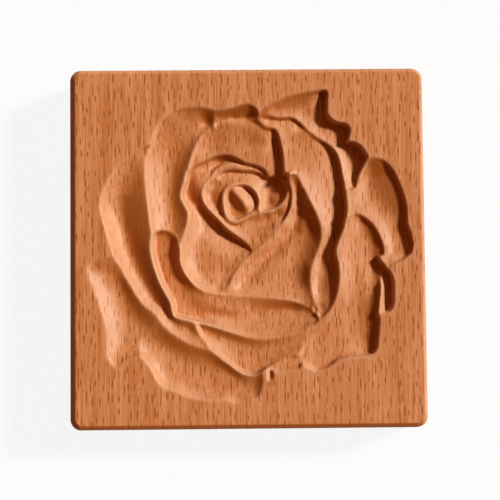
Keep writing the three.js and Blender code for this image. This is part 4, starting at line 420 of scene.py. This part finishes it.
        ((-2, 13, 5.6),),
    )),
    Petal(name="heart of the bud", wall=0.7, edge=(
        (-5.2, 16.6), (-5.8, 15.2), (-6, 13), (-5.7, 11), (-4.9, 9.2), (-3.5, 8.3), (-1.7, 8.8),
        (0.3, 9.9), (2, 10.8), (3, 12.2), (3, 14), (2.3, 15.7), (1, 17), (-0.6, 17.8), (-2.4, 18),
        (-4, 17.6)
    ), strokes=(
        ((-5, 15.2, 6.4), (-5.1, 12.8, 7), (-4.3, 10.5, 7.1), (-2.6, 9.6, 6.9), (-1, 9.9, 6.7),
         (1, 10.9, 6.5)),
        ((-3.9, 13.6, 6.6), (-2.5, 11.7, 6.6)),
        ((-3.8, 16.2, 5), (-2.7, 14.7, 4.8), (-1.5, 13.1, 4.8), (-0.3, 11.7, 5.2)),
        ((-2.4, 16.8, 5.7), (-0.9, 15.4, 5.6), (0.5, 13.8, 5.8), (1.1, 12.5, 6.1)),
        ((-1.6, 17.4, 6.5), (0.6, 16.3, 7.1), (1.8, 14.6, 7.2), (2.2, 12.8, 7)),
    )),
    Petal(name="bud, right half", wall=0.6, edge=(
        (-6.8, -12.6), (-6.3, -11.2), (-5.4, -9.4), (-4.3, -7.3), (-3.1, -5.3), (-1.6, -3.5), (0, -1.9),
        (1.5, -0.5), (3.1, 0.7), (4.6, 1.8), (6.1, 3.1), (7.4, 4.5), (8.6, 6), (9.8, 7.7), (10.9, 9.5),
        (11.7, 11.4), (12.05, 13.3), (12.1, 15), (11.8, 16.8), (11.3, 18.2), (11.2, 19.6), (12.5, 20.8),
        (15, 20.5), (18, 14), (20.8, 8), (21.5, 2), (19.8, -3), (18.8, -8), (18.5, -12), (18.6, -15),
        (18.8, -18.4), (17.5, -16.8), (15.8, -15.7), (13.8, -14.9), (11.5, -14.3), (9, -13.9), (6, -13.6),
        (3, -13.4), (0, -13.2), (-3, -12.9)
    ), strokes=(
        ((12.3, 18.8, 3.5), (12.8, 16.4, 3.9), (12.8, 14, 4.2), (12.5, 12, 4.5), (11.6, 9.8, 4.8),
         (9.9, 7.1, 4.9), (7.8, 4.2, 5.1), (5.1, 1.5, 5.2), (2.1, -0.9, 5.3), (-0.6, -3.2, 5.3),
         (-2.8, -5.9, 5.3), (-4.5, -9.3, 5.2), (-5.8, -12, 4.9)),
        ((10.7, 6.7, 5.3), (8.5, 3.7, 5.5), (5.8, 0.9, 5.6), (2.8, -1.5, 5.6), (0.1, -3.9, 5.6),
         (-2.1, -6.5, 5.6), (-3.8, -9.7, 5.4)),
        ((12.8, 6.9, 6.8), (10.2, 3, 7.2), (7.2, 0.2, 7.2), (4.2, -2.4, 7.1), (1.6, -4.9, 7),
         (-0.7, -7.8, 6.8), (-2.3, -10.4, 6.3)),
        ((13.9, 17.6, 3.9), (14.4, 15.2, 4.9), (14.7, 12.6, 5.8), (14.1, 9.6, 6.7), (14.2, 5, 6.9),
         (12, 1.6, 6.8), (9.2, -1.6, 6.8), (6, -4.4, 6.7)),
        ((4, -7, 6.6), (9, -6, 6.7), (12.5, -1, 6.8), (14.4, 3.5, 6.7), (15, 7.5, 6.4)),
        ((16, 11.2, 5.2), (17.3, 8.2, 5.4), (18.4, 5.4, 5.5), (18.3, 2.2, 5.6), (17.4, -1, 5.7),
         (15.9, -5, 5.7), (15.2, -10, 5.6)),
        ((-3, -11.6, 5.5), (3, -12.2, 5.4), (9, -12.6, 5.3), (14, -13.8, 5)),
        ((3, -10, 6.4), (9, -10.4, 6.3)),
        ((18.2, -16.6, 4.1), (17.6, -14, 4.2), (16.9, -9, 4.4), (17.3, -5, 4.5), (18.8, -1.6, 4.6),
         (19.9, 1.6, 4.4), (20, 4.8, 4.1), (19.3, 7.6, 3.8), (18, 10.8, 3.5), (16.3, 14.2, 3.3),
         (14.9, 17.2, 3.2), (13.4, 19.8, 3.2)),
    )),
    Petal(name="long right petal", wall=1.0, edge=(
        (3.3, 36.5), (4.6, 36.8), (6.2, 36.8), (8, 36.5), (10, 36.4), (12, 36.6), (13.2, 36.3),
        (14.5, 35.4), (16, 34), (17.6, 32.5), (19.2, 31.2), (20.8, 30.2), (22.3, 29.2), (23.7, 28),
        (24.9, 26.5), (25.6, 24.8), (26.1, 22.8), (26.5, 20.5), (26.9, 18.2), (27.1, 16), (27.4, 13.7),
        (27.5, 11.3), (27.4, 9), (26.9, 7), (26.5, 5.2), (25.7, 3.2), (24.9, 1.2), (24.4, -0.5),
        (24.4, -2.2), (24.8, -4), (25.1, -6), (25.15, -8.3), (24.9, -10.8), (24.4, -13.3), (23.6, -15.7),
        (22.4, -17.8), (21, -19.3), (20, -20.2), (19.2, -19), (18.4, -16.8), (17.8, -14.5), (17.4, -12),
        (17.2, -9.8), (17.4, -7.6), (17.7, -5.5), (18.2, -3.6), (19, -1.8), (19.8, 0), (20.3, 1.6),
        (20.5, 3.3), (20.3, 5), (19.9, 6.8), (19.4, 8.6), (18.7, 10.5), (17.8, 12.5), (16.8, 14.4),
        (15.7, 16.4), (14.8, 18.2), (13.8, 20), (12.6, 20.9), (11.3, 20.3), (10.4, 20.4), (9.8, 21.4),
        (9.6, 23.2), (9.5, 25.4), (9.1, 28), (8.6, 30.3), (8.1, 32), (7.5, 33.1), (6.5, 33.4), (5.6, 33.5),
        (4.8, 34.3), (4, 35.4)
    ), strokes=(
        ((4.2, 36.1, 1.9), (4.7, 35, 2.1)),
        ((6.5, 35.7, 2.8), (9.5, 35.5, 3.1), (12.5, 35.4, 3.3), (14.4, 34.1, 3.4)),
        ((7.2, 34.4, 2.3), (9, 33, 2.4), (10.2, 30, 2.5), (10.6, 26, 2.6), (10.8, 22.5, 2.8),
         (14, 20.7, 2.9), (16.2, 16.8, 2.9), (18.2, 12.9, 3), (19.8, 9, 3.2), (20.9, 5.5, 3.5),
         (21, 3, 3.9), (20, -1, 4.4), (18.6, -5.5, 4.3), (17.9, -9.5, 4.1), (18.2, -13, 4),
         (19.2, -17, 3.7)),
        ((13, 33.4, 2.8), (13.4, 29, 3.1), (13.8, 24, 3.3), (16.4, 20, 3.5), (18.9, 15, 3.5),
         (21.2, 9.5, 3.7)),
        ((16.6, 32, 2.9), (17.4, 28, 3.5), (18, 23, 3.9), (20, 17, 4.1), (21.7, 12, 4.1), (22.6, 8, 4.2)),
        ((18.6, 30.4, 3.3), (21, 28.2, 3.9), (22.6, 25, 4.7), (23.8, 20, 4.9), (24.6, 15, 4.9),
         (25, 10.5, 4.9), (24.6, 6.5, 4.8), (23, 2, 4.8), (22, -3, 4.8), (21.8, -8, 4.7), (21.4, -13, 4.3)),
        ((21.2, -1, 5), (20, -5.5, 5), (19.6, -9, 5), (19.8, -13, 4.7), (20.2, -16.6, 4)),
        ((23.4, -3, 4.5), (23.7, -8, 4.2), (22.9, -13, 3.8), (21.5, -16.6, 3.3)),
    )),
)


def length_setting(name, description, default):
    return bpy.props.FloatProperty(name=name, description=description, default=default, unit="LENGTH")


def angle_setting(name, description, degrees):
    return bpy.props.FloatProperty(
        name=name, description=description, default=math.radians(degrees), subtype="ANGLE")


def share_setting(name, description, default):
    return bpy.props.FloatProperty(
        name=name, description=description, default=default, min=0.0, max=1.0, subtype="FACTOR")


def colour_setting(name, description, default):
    return bpy.props.FloatVectorProperty(
        name=name, description=description, default=default, subtype="COLOR", size=3)


class MouldSizes(bpy.types.PropertyGroup):
    """Sizes of the block and of the rose in it."""

    width: length_setting("Width", "Across the grain", BLOCK_HIGH.x - BLOCK_LOW.x)
    length: length_setting("Length", "Along the grain", BLOCK_HIGH.y - BLOCK_LOW.y)
    thickness: length_setting("Thickness", "From the back to the face", BLOCK_HIGH.z - BLOCK_LOW.z)
    corner_radius: length_setting("Corner radius", "Of the upright corners", 3.0 * MM)
    edge_bevel: length_setting("Edge bevel", "Width of the slope round the face and the back", 1.3 * MM)
    bevel_rounding: length_setting("Bevel rounding", "Radius at both sides of the slope", 0.5 * MM)
    bevel_lean: length_setting("Bevel lean", "How much wider the left slope is than the mean", 0.35 * MM)
    carving_depth: length_setting("Carving depth", "At the rose's deepest place", 7.8 * MM)
    side_border: length_setting("Side border", "Flat wood left beside the rose", 3.4 * MM)
    end_border: length_setting("End border", "Flat wood left above the rose", 6.2 * MM)


class BeechLook(bpy.types.PropertyGroup):
    """Colours and finish of the oiled beech, with the painted highlight and painted shade for the carving's
    slopes.
    """

    wood: colour_setting("Wood", "Darker streaks along the grain", (0.50, 0.152, 0.032))
    pale_wood: colour_setting("Pale wood", "Palest streaks along the grain", (0.69, 0.290, 0.122))
    # Real end grain on the block's ends, and also the painted shade on the carving's slopes facing away from
    # the lamp.
    end_grain_and_shade: colour_setting("End grain", "Where oil soaks in across the fibres", (0.43, 0.108, 0.009))
    # Painted highlight: the pale colour laid on the carving's slopes that face the lamp.
    lamp_side_highlight: colour_setting("Along the rings", "Where a slope runs along the rings", (0.62, 0.32, 0.17))
    # A paler colour laid on crests that stand out from the wood round them.
    paler_crest: colour_setting("Rubbed", "Where sandpaper and hands have rubbed an edge", (0.66, 0.35, 0.187))
    fleck: colour_setting("Flecks", "The short dark rays", (0.33, 0.075, 0.006))
    # How strongly the painted highlight on slopes facing the lamp shows.
    highlight_share: share_setting("Rings' share", "How strongly ring slopes show", 0.6)
    # How strongly the painted shade shows on the carving's slopes facing away from the lamp.
    painted_shade_share: share_setting("Cut share", "How strongly end grain shows in the carving", 0.9)
    ends_share: share_setting("Ends' share", "How strongly end grain shows on the block's ends", 0.5)
    # How strongly the paler colour on crests shows.
    paler_crest_share: share_setting("Rubbed share", "How strongly rubbed crests show", 0.7)
    fleck_share: share_setting("Flecks' share", "How strongly the rays show", 0.9)
    roughness: share_setting("Roughness", "Of the oiled face", 0.50)
    sheen: share_setting("Sheen", "How much the oil reflects", 0.27)


class StudioLook(bpy.types.PropertyGroup):
    """Light and floor round the mould."""

    key_strength: bpy.props.FloatProperty(
        name="Key light", description="Strength of the lamp at the upper right", default=4.25, min=0.0)
    key_azimuth: angle_setting("Key azimuth", "Turn of the lamp from +X towards +Y", 22)
    key_elevation: angle_setting("Key elevation", "Height of the lamp over the floor", 38)
    key_softness: angle_setting("Key softness", "How wide the lamp looks from the mould", 8)
    fill_colour: colour_setting("Fill light", "Warm light from all round", (0.165, 0.070, 0.017))
    floor_colour: colour_setting("Floor", "Colour of the floor", (0.80, 0.79, 0.77))
    floor_white: share_setting("Floor's white", "How plain white the camera sees the floor", 0.9)


def curve_points(a, b, c, d, steps):
    """Points from b towards c on the smooth curve through a, b, c and d."""
    t = (np.arange(steps) / steps)[:, None]
    return 0.5 * (2 * b + (c - a) * t + (2 * a - 5 * b + 4 * c - d) * t**2 + (3 * b - a - 3 * c + d) * t**3)


def smooth_loop(edge):
    """A closed curve through an outline's points."""
    points = np.array(edge, float)
    count = len(points)
    parts = []
    for i in range(count):
        a, b, c, d = (points[(i + k) % count] for k in (-1, 0, 1, 2))
        if not np.array_equal(b, c):
            parts.append(curve_points(a, b, c, d, CURVE_STEPS))
    return np.vstack(parts)


def along_stroke(stroke):
    """Places at an even gap along a stroke."""
    points = np.array(stroke, float)
    if len(points) == 1:
        return points
    ends = np.vstack([2 * points[0] - points[1], points, 2 * points[-1] - points[-2]])
    parts = []
    for i, (start, stop) in enumerate(zip(points, points[1:])):
        steps = max(1, round(math.hypot(*(stop - start)[:2]) / STROKE_GAP))
        parts.append(curve_points(*ends[i:i + 4], steps))
    return np.vstack([*parts, points[-1:]])


def bend(square):
    """How a thin plate gives way at a squared distance from where it is held."""
    return square * np.log(np.maximum(square, LEAST_SQUARE))


def bent_plate(places, x, y):
    """The depth at x, y of a thin plate bent through the places."""
    held = places[:, :2]
    count = len(places)
    matrix = np.zeros((count + 3, count + 3))
    matrix[:count, :count] = bend(((held[:, None] - held[None]) ** 2).sum(axis=2))
    matrix[:count, count] = 1
    matrix[:count, count + 1:] = held
    matrix[count:, :count] = matrix[:count, count:].T
    weights = np.linalg.solve(matrix, np.append(places[:, 2], (0, 0, 0)))
    depth = weights[count] + weights[count + 1] * x + weights[count + 2] * y
    for (u, v), weight in zip(held, weights):
        depth += weight * bend((x - u) ** 2 + (y - v) ** 2)
    return depth


def distance_inside(loop, x, y):
    """How far each place is in from the loop's line, and 0 outside it."""
    nearest = np.full(x.shape, np.inf)
    inside = np.zeros(x.shape, bool)
    for (ax, ay), (bx, by) in zip(loop, np.roll(loop, -1, axis=0)):
        ex, ey = bx - ax, by - ay
        along = np.clip(((x - ax) * ex + (y - ay) * ey) / (ex * ex + ey * ey), 0, 1)
        nearest = np.minimum(nearest, (x - ax - along * ex) ** 2 + (y - ay - along * ey) ** 2)
        crosses = (ay > y) != (by > y)
        if ey:
            inside ^= crosses & (x < ax + ex * (y - ay) / ey)
    return np.where(inside, np.sqrt(nearest), 0)


def carved_depth(x, y):
    """How deep the rose is at each place. A hollow's wall starts steep and rounds into its bottom."""
    depth = np.zeros(x.shape)
    for petal in PETALS:
        loop = smooth_loop(petal.edge)
        (low_x, low_y), (high_x, high_y) = loop.min(axis=0), loop.max(axis=0)
        near = (x >= low_x) & (x <= high_x) & (y >= low_y) & (y <= high_y)
        bottom = np.vstack([along_stroke(stroke) for stroke in petal.strokes])
        own = np.maximum(bent_plate(bottom, x[near], y[near]), 0)
        share = np.minimum(distance_inside(loop, x[near], y[near]) / petal.wall, 1)
        depth[near] += (own - depth[near]) * (1 - (1 - share) ** WALL_POWER)
    return depth


def sanded(depth):
    """The depths with their sharpest crests softened by sandpaper."""
    for axis in (0, 1):
        before = np.roll(depth, 1, axis=axis)
        after = np.roll(depth, -1, axis=axis)
        depth = 0.25 * before + 0.5 * depth + 0.25 * after
    return depth


def crest_standout(depth):
    """How far each place stands out from the wood about it, from 0 in a hollow to 1 on a sharp crest."""
    around = depth
    for _ in range(CREST_ROUNDS):
        around = sanded(around)
    return np.clip((around - depth) * CREST_GAIN, 0, 1)


def face_lines(half, rose_half, corner):
    """Places of the lines across the face: close over the rose and in the corners, wide in the border."""
    fine = np.linspace(-rose_half, rose_half, 2 * round(rose_half / CARVING_GAP) + 1)
    border = np.linspace(rose_half, half - corner, BORDER_LINES + 1)[1:]
    edge = np.linspace(half - corner, half, CORNER_LINES + 1)[1:]
    outer = np.concatenate([border, edge])
    return np.concatenate([-outer[::-1], fine, outer])


def into_corner(x, y, half_width, half_length, radius):
    """Draws the square corners of the face in to round ones."""
    across = np.clip((abs(x) - half_width + radius) / radius, 0, 1)
    along = np.clip((abs(y) - half_length + radius) / radius, 0, 1)
    in_corner = (across > 0) & (along > 0)
    round_x = half_width - radius + radius * across * np.sqrt(1 - along**2 / 2)
    round_y = half_length - radius + radius * along * np.sqrt(1 - across**2 / 2)
    return np.where(in_corner, np.sign(x) * round_x, x), np.where(in_corner, np.sign(y) * round_y, y)


def face_places(sizes):
    """Where each crossing of the face's lines lies, from the face's middle, and how far it stands out as a
    crest.
    """
    half_width = (sizes.width / 2 - sizes.edge_bevel) / MM
    half_length = (sizes.length / 2 - sizes.edge_bevel) / MM
    corner = (sizes.corner_radius - sizes.edge_bevel) / MM
    rose_half_width = (sizes.width / 2 - sizes.side_border) / MM
    rose_half_length = (sizes.length / 2 - sizes.end_border) / MM
    edges = np.array([point for petal in PETALS for point in petal.edge])
    stretch_x, stretch_y = np.array([rose_half_width, rose_half_length]) / abs(edges).max(axis=0)
    margin = 2 * CARVING_GAP
    lines_x = face_lines(half_width, min(rose_half_width + margin, half_width - corner - margin), corner)
    lines_y = face_lines(half_length, rose_half_length + margin, corner)
    x, y = np.meshgrid(lines_x, lines_y)
    depth = sanded(carved_depth(x / stretch_x, y / stretch_y))
    depth *= sizes.carving_depth / MM / depth.max()
    beyond_rose = np.clip((abs(x) - rose_half_width) / (half_width - rose_half_width), 0, 1)
    x, y = into_corner(x, y, half_width, half_length, corner)
    return x + beyond_rose * sizes.bevel_lean / MM, y, -depth, crest_standout(depth)


def outward(place, sizes):
    """The level direction from the block's middle out through a place on its rounded outline."""
    corner = Vector((sizes.width / 2 - sizes.corner_radius, sizes.length / 2 - sizes.corner_radius))
    out = Vector((
        math.copysign(max(abs(place.x) - corner.x, 0), place.x),
        math.copysign(max(abs(place.y) - corner.y, 0), place.y),
        0,
    ))
    return out.normalized()


def turn_down(bm, ring, out, down, lean, sizes):
    """Extrudes the block's open edge outwards, down and to the left, and returns the new edge."""
    made = bmesh.ops.extrude_edge_only(bm, edges=ring)["geom"]
    for vert in made:
        if isinstance(vert, bmesh.types.BMVert):
            vert.co += outward(vert.co, sizes) * out - Vector((lean, 0, down))
    return [edge for edge in made if isinstance(edge, bmesh.types.BMEdge) and edge.is_boundary]


def edge_profile(sizes):
    """The steps from the face to the back, each as how far it goes outwards, down and to the left."""
    slope = sizes.edge_bevel - sizes.bevel_rounding
    turns = [step / ARC_STEPS * math.pi / 2 for step in range(ARC_STEPS + 1)]
    bends = []
    for a, b in zip(turns, turns[1:]):
        bends.append((sizes.bevel_rounding * (math.sin(b) - math.sin(a)),
                      sizes.bevel_rounding * (math.cos(a) - math.cos(b)), 0.0))
    halfway = ARC_STEPS // 2
    bevel = [*bends[:halfway], (slope, slope, sizes.bevel_lean), *bends[halfway:]]
    support = SUPPORT_GAP * MM
    side = sizes.thickness - 2 * sizes.edge_bevel
    straights = [(0, support, 0), (0, side - 2 * support, 0), (0, support, 0)]
    return [*bevel, *straights, *[(-out, down, -lean) for out, down, lean in reversed(bevel)]]


def carved_block_mesh(sizes):
    """The whole block as one closed skin: the carved face, the rounded edges, the sides and the back."""
    x, y, z, paler_crest = face_places(sizes)
    rows, columns = x.shape
    bm = bmesh.new()
    bmesh.ops.create_grid(bm, x_segments=columns - 1, y_segments=rows - 1, size=1)
    layer = bm.verts.layers.float.new(PALER_CREST)
    for vert in bm.verts:
        column = round((vert.co.x + 1) / 2 * (columns - 1))
        row = round((vert.co.y + 1) / 2 * (rows - 1))
        vert.co = (x[row, column] * MM, y[row, column] * MM, z[row, column] * MM + sizes.thickness)
        vert[layer] = paler_crest[row, column]
    ring = [edge for edge in bm.edges if edge.is_boundary]
    for out, down, lean in edge_profile(sizes):
        ring = turn_down(bm, ring, out, down, lean, sizes)
    back = bmesh.ops.contextual_create(bm, geom=ring)["faces"]
    bmesh.ops.recalc_face_normals(bm, faces=bm.faces)
    for face in bm.faces:
        face.smooth = face not in back
    mesh = bpy.data.meshes.new("carved_block")
    bm.to_mesh(mesh)
    bm.free()
    return mesh


class Value:
    """A number that varies over a surface. An expression on it adds the Math nodes that work it out."""

    def __init__(self, shader, socket):
        self.shader = shader
        self.socket = socket

    def math(self, operation, *numbers):
        return self.shader.add("ShaderNodeMath", {"operation": operation}, *numbers)["Value"]

    def __add__(self, other):
        return self.math("ADD", self, other)

    def __radd__(self, other):
        return self.math("ADD", other, self)

    def __sub__(self, other):
        return self.math("SUBTRACT", self, other)

    def __rsub__(self, other):
        return self.math("SUBTRACT", other, self)

    def __mul__(self, other):
        return self.math("MULTIPLY", self, other)

    def __rmul__(self, other):
        return self.math("MULTIPLY", other, self)

    def __truediv__(self, other):
        return self.math("DIVIDE", self, other)

    def __rtruediv__(self, other):
        return self.math("DIVIDE", other, self)

    def clamped(self):
        """Kept from 0 to 1."""
        return self.math("MAXIMUM", self.math("MINIMUM", self, 1.0), 0.0)


class Shader:
    """The nodes of one material or of the world."""

    def __init__(self, tree):
        self.tree = tree
        self.tree.nodes.clear()

    def add(self, kind, settings=None, *values, **named):
        """Adds a node and returns its outputs by name. Values fill its inputs in order or by name."""
        node = self.tree.nodes.new(kind)
        for setting, choice in (settings or {}).items():
            setattr(node, setting, choice)
        by_name = ((name.replace("_", " "), value) for name, value in named.items())
        for key, value in [*enumerate(values), *by_name]:
            if isinstance(value, Value):
                self.tree.links.new(value.socket, node.inputs[key])
            else:
                node.inputs[key].default_value = value
        return {output.name: Value(self, output) for output in node.outputs if output.enabled}

    def parts(self, vector):
        """A vector's three numbers."""
        return self.add("ShaderNodeSeparateXYZ", None, vector).values()

    def vector(self, x, y, z):
        return self.add("ShaderNodeCombineXYZ", None, x, y, z)["Vector"]

    def grain(self, x, y, z, lump, shift=None, detail=2.0):
        """Soft noise from 0 to 1 in lumps of a size across and along the grain, shifted across it."""
        across, along = lump
        u = x / across if shift is None else x / across + shift
        place = self.vector(u, y / along, z / across)
        noise = self.add("ShaderNodeTexNoise", None, Vector=place, Scale=1.0, Detail=detail, Roughness=0.5)
        return noise["Fac"]

    def mix(self, share, first, second):
        """A colour between two."""
        made = self.add("ShaderNodeMix", {"data_type": "RGBA"}, Factor=share, A=first, B=second)
        return made["Result"]


def opaque(colour):
    return (*colour, 1)


def flecks(shader, x, y, room, spindle, shift=0.0):
    """Beech's rays, cut across: one dark spindle along the grain in each room of x by y millimetres."""
    (room_x, room_y), (half_width, half_length) = room, spindle
    u = x / room_x + shift
    v = y / room_y + shift
    cell = shader.add("ShaderNodeTexVoronoi", {"voronoi_dimensions": "2D"}, Vector=shader.vector(u, v, 0.0),
                      Scale=1.0, Randomness=FLECK_SCATTER)
    middle_u, middle_v, _ = shader.parts(cell["Position"])
    chance, strength, _ = shader.parts(cell["Color"])
    across = (u - middle_u) * (room_x / half_width)
    along = (v - middle_v) * (room_y / half_length) / (chance * FLECK_LENGTHS + SHORTEST_FLECK)
    spindles = ((1 - across * across - along * along) * FLECK_SHARPNESS).clamped()
    return spindles * (strength * (1 - FAINTEST_FLECK) + FAINTEST_FLECK)


def leaning(lean_x, lean_y, direction, start):
    """How far a slope leans in a direction, from 0 at the start up to 1."""
    return (lean_x * direction[0] + lean_y * direction[1] - start).clamped()


def beech(look):
    """Oiled beech: fine streaks along the grain, short dark rays, darker end grain on the block's ends, a
    painted highlight on the carving's slopes that face the lamp, painted shade on those that face away, and
    paler crests.
    """
    material = bpy.data.materials.new("beech")
    material.use_nodes = True
    wood = Shader(material.node_tree)
    spot = wood.add("ShaderNodeTexCoord")
    x, y, z = (part / MM for part in wood.parts(spot["Object"]))
    lean_x, lean_y, lean_z = wood.parts(spot["Normal"])
    from_above = (lean_z * FACE_GAIN).clamped()

    wander = wood.grain(x, y, z, WANDER_LUMP)
    fibres = wood.grain(x, y, z, FIBRE_LUMP, shift=wander * FIBRE_WANDER)
    bands = wood.grain(x, y, z, BAND_LUMP, shift=wander, detail=1.0)
    streaks = (fibres * FIBRE_SHOW + bands * BAND_SHOW - STREAK_START).clamped()
    rays = flecks(wood, x + wander * FLECK_WANDER, y, FLECK_ROOM, FLECK_HALF)
    small_rays = flecks(wood, x, y, SMALL_FLECK_ROOM, SMALL_FLECK_HALF, SMALL_FLECK_SHIFT)
    fainter = lean_x * lean_x * (1 - from_above) * SIDE_FLECK_FADE
    dark = (rays * FLECK_SHOW + small_rays * SMALL_FLECK_SHOW).clamped() * (1 - fainter)
    # Painted highlight: a pale tone on upward slopes that lean towards the lamp.
    lamp_side_highlight = leaning(lean_x, lean_y, HIGHLIGHT_LEAN, HIGHLIGHT_START) * from_above
    # Painted shade: the end-grain colour on upward slopes that lean away from the lamp.
    shade_side_slopes = leaning(lean_x, lean_y, SHADE_LEAN, SHADE_START) * from_above
    ends = lean_y * lean_y * (1 - from_above)
    # How far each place stands out as a crest, which is made paler.
    paler_crest = wood.add("ShaderNodeAttribute", {"attribute_name": PALER_CREST})["Fac"]

    colour = wood.mix(streaks, opaque(look.wood), opaque(look.pale_wood))
    for share, tone in (
        (dark * look.fleck_share, look.fleck),
        # Painted highlight on slopes facing the lamp.
        (lamp_side_highlight * look.highlight_share, look.lamp_side_highlight),
        # Painted shade on slopes facing away from the lamp.
        (shade_side_slopes * look.painted_shade_share, look.end_grain_and_shade),
        (ends * look.ends_share, look.end_grain_and_shade),
        (paler_crest * look.paler_crest_share, look.paler_crest),
    ):
        colour = wood.mix(share, colour, opaque(tone))

    roughness = fibres * FIBRE_ROUGHNESS + dark * FLECK_ROUGHNESS + (look.roughness - FIBRE_ROUGHNESS / 2)
    bump = wood.add("ShaderNodeBump", None, Strength=BUMP_STRENGTH, Distance=BUMP_HEIGHT,
                    Height=fibres - dark * FLECK_BUMP)
    finish = wood.add("ShaderNodeBsdfPrincipled", None, Base_Color=colour, Normal=bump["Normal"],
                      Roughness=roughness.clamped(), Specular_IOR_Level=look.sheen)
    wood.add("ShaderNodeOutputMaterial", None, Surface=finish["BSDF"])
    return material


def pale_floor(look):
    """A floor that looks nearly white to the camera and keeps a faint shadow."""
    material = bpy.data.materials.new("pale_floor")
    material.use_nodes = True
    paper = Shader(material.node_tree)
    seen = paper.add("ShaderNodeLightPath")
    matt = paper.add("ShaderNodeBsdfDiffuse", None, Color=opaque(look.floor_colour))
    white = paper.add("ShaderNodeEmission", None, Color=(1, 1, 1, 1), Strength=1.0)
    share = (seen["Is Camera Ray"] + seen["Is Glossy Ray"]).clamped() * look.floor_white
    surface = paper.add("ShaderNodeMixShader", None, share, matt["BSDF"], white["Emission"])
    paper.add("ShaderNodeOutputMaterial", None, Surface=surface["Shader"])
    return material


def white_studio(look):
    """A world that looks white and gives the fill light."""
    world = bpy.data.worlds.new("studio")
    world.use_nodes = True
    air = Shader(world.node_tree)
    seen = air.add("ShaderNodeLightPath")
    colour = air.mix(seen["Is Camera Ray"], opaque(look.fill_colour), (1, 1, 1, 1))
    light = air.add("ShaderNodeBackground", None, Color=colour)
    air.add("ShaderNodeOutputWorld", None, Surface=light["Background"])
    return world


class MOULD_OT_carve_block(bpy.types.Operator):
    """Model the beech block with the rose sunk into its face"""

    bl_idname = "mould.carve_block"
    bl_label = "Carve the block"

    def execute(self, context):
        block = bpy.data.objects.new("carved_block", carved_block_mesh(context.scene.mould_sizes))
        context.scene.collection.objects.link(block)
        block.data.materials.append(beech(context.scene.beech_look))
        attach(block, "root")
        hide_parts("mould_block")
        return {"FINISHED"}


class MOULD_OT_set_stage(bpy.types.Operator):
    """Lay the floor, hang the lamp, and put the camera over the mould"""

    bl_idname = "mould.set_stage"
    bl_label = "Set the stage"

    floor_half: bpy.props.FloatProperty(name="Half of the floor", default=4.0, unit="LENGTH")
    focal_length: bpy.props.FloatProperty(name="Focal length, mm", default=117.04)
    camera_place: bpy.props.FloatVectorProperty(
        name="Camera", description="From the middle of the face", default=(-0.00586, -0.03614, 0.44851),
        subtype="XYZ_LENGTH", size=3)
    camera_turns: bpy.props.FloatVectorProperty(
        name="Camera turns", description="How far the mould's own axes are turned in the camera's view",
        default=(math.radians(-4.52), math.radians(0.78), math.radians(0.56)), subtype="EULER", size=3)

    def execute(self, context):
        look = context.scene.studio_look
        self.lay_floor(context.scene, look)
        self.hang_lamp(context.scene, look)
        self.place_camera(context.scene)
        context.scene.world = white_studio(look)
        context.scene.view_settings.view_transform = "Standard"
        return {"FINISHED"}

    def lay_floor(self, scene, look):
        bm = bmesh.new()
        bmesh.ops.create_grid(bm, x_segments=1, y_segments=1, size=self.floor_half)
        bmesh.ops.translate(bm, verts=bm.verts, vec=(0, 0, -FLOOR_DROP))
        mesh = bpy.data.meshes.new("floor")
        bm.to_mesh(mesh)
        bm.free()
        mesh.materials.append(pale_floor(look))
        floor = bpy.data.objects.new("floor", mesh)
        scene.collection.objects.link(floor)

    def hang_lamp(self, scene, look):
        lamp = bpy.data.objects.new("key_lamp", bpy.data.lights.new("key_lamp", "SUN"))
        lamp.data.energy = look.key_strength
        lamp.data.angle = look.key_softness
        level = math.cos(look.key_elevation)
        towards = Vector((
            level * math.cos(look.key_azimuth),
            level * math.sin(look.key_azimuth),
            math.sin(look.key_elevation),
        ))
        lamp.location = towards
        lamp.rotation_euler = towards.to_track_quat("Z", "Y").to_euler()
        scene.collection.objects.link(lamp)

    def place_camera(self, scene):
        camera = bpy.data.objects.new("camera", bpy.data.cameras.new("camera"))
        camera.data.lens = self.focal_length
        camera.data.clip_start = 0.01
        camera.data.clip_end = 20.0
        turn_x, turn_y, turn_z = self.camera_turns
        turned = Matrix.Rotation(turn_x, 3, "X") @ Matrix.Rotation(turn_y, 3, "Y")
        turned = turned @ Matrix.Rotation(turn_z, 3, "Z")
        place = Vector(self.camera_place) + Vector((0, 0, BLOCK_HIGH.z))
        camera.matrix_world = Matrix.Translation(place) @ turned.transposed().to_4x4()
        scene.collection.objects.link(camera)
        scene.camera = camera


class MOULD_PT_panel(bpy.types.Panel):
    """Sizes, finishes and steps of the mould"""

    bl_idname = "MOULD_PT_panel"
    bl_label = "Rose mould"
    bl_space_type = "VIEW_3D"
    bl_region_type = "UI"
    bl_category = "Mould"

    def draw(self, context):
        for group in (context.scene.mould_sizes, context.scene.beech_look, context.scene.studio_look):
            box = self.layout.box()
            for setting in group.__annotations__:
                box.prop(group, setting)
        self.layout.operator(MOULD_OT_carve_block.bl_idname)
        self.layout.operator(MOULD_OT_set_stage.bl_idname)


CLASSES = (MouldSizes, BeechLook, StudioLook, MOULD_OT_carve_block, MOULD_OT_set_stage, MOULD_PT_panel)
GROUPS = {"mould_sizes": MouldSizes, "beech_look": BeechLook, "studio_look": StudioLook}


def register():
    for cls in CLASSES:
        bpy.utils.register_class(cls)
    for name, group in GROUPS.items():
        setattr(bpy.types.Scene, name, bpy.props.PointerProperty(type=group))


def unregister():
    for name in GROUPS:
        delattr(bpy.types.Scene, name)
    for cls in reversed(CLASSES):
        bpy.utils.unregister_class(cls)


def main():
    register()
    bpy.ops.mould.set_stage()
    bpy.ops.mould.carve_block()


if __name__ == "__main__":
    main()
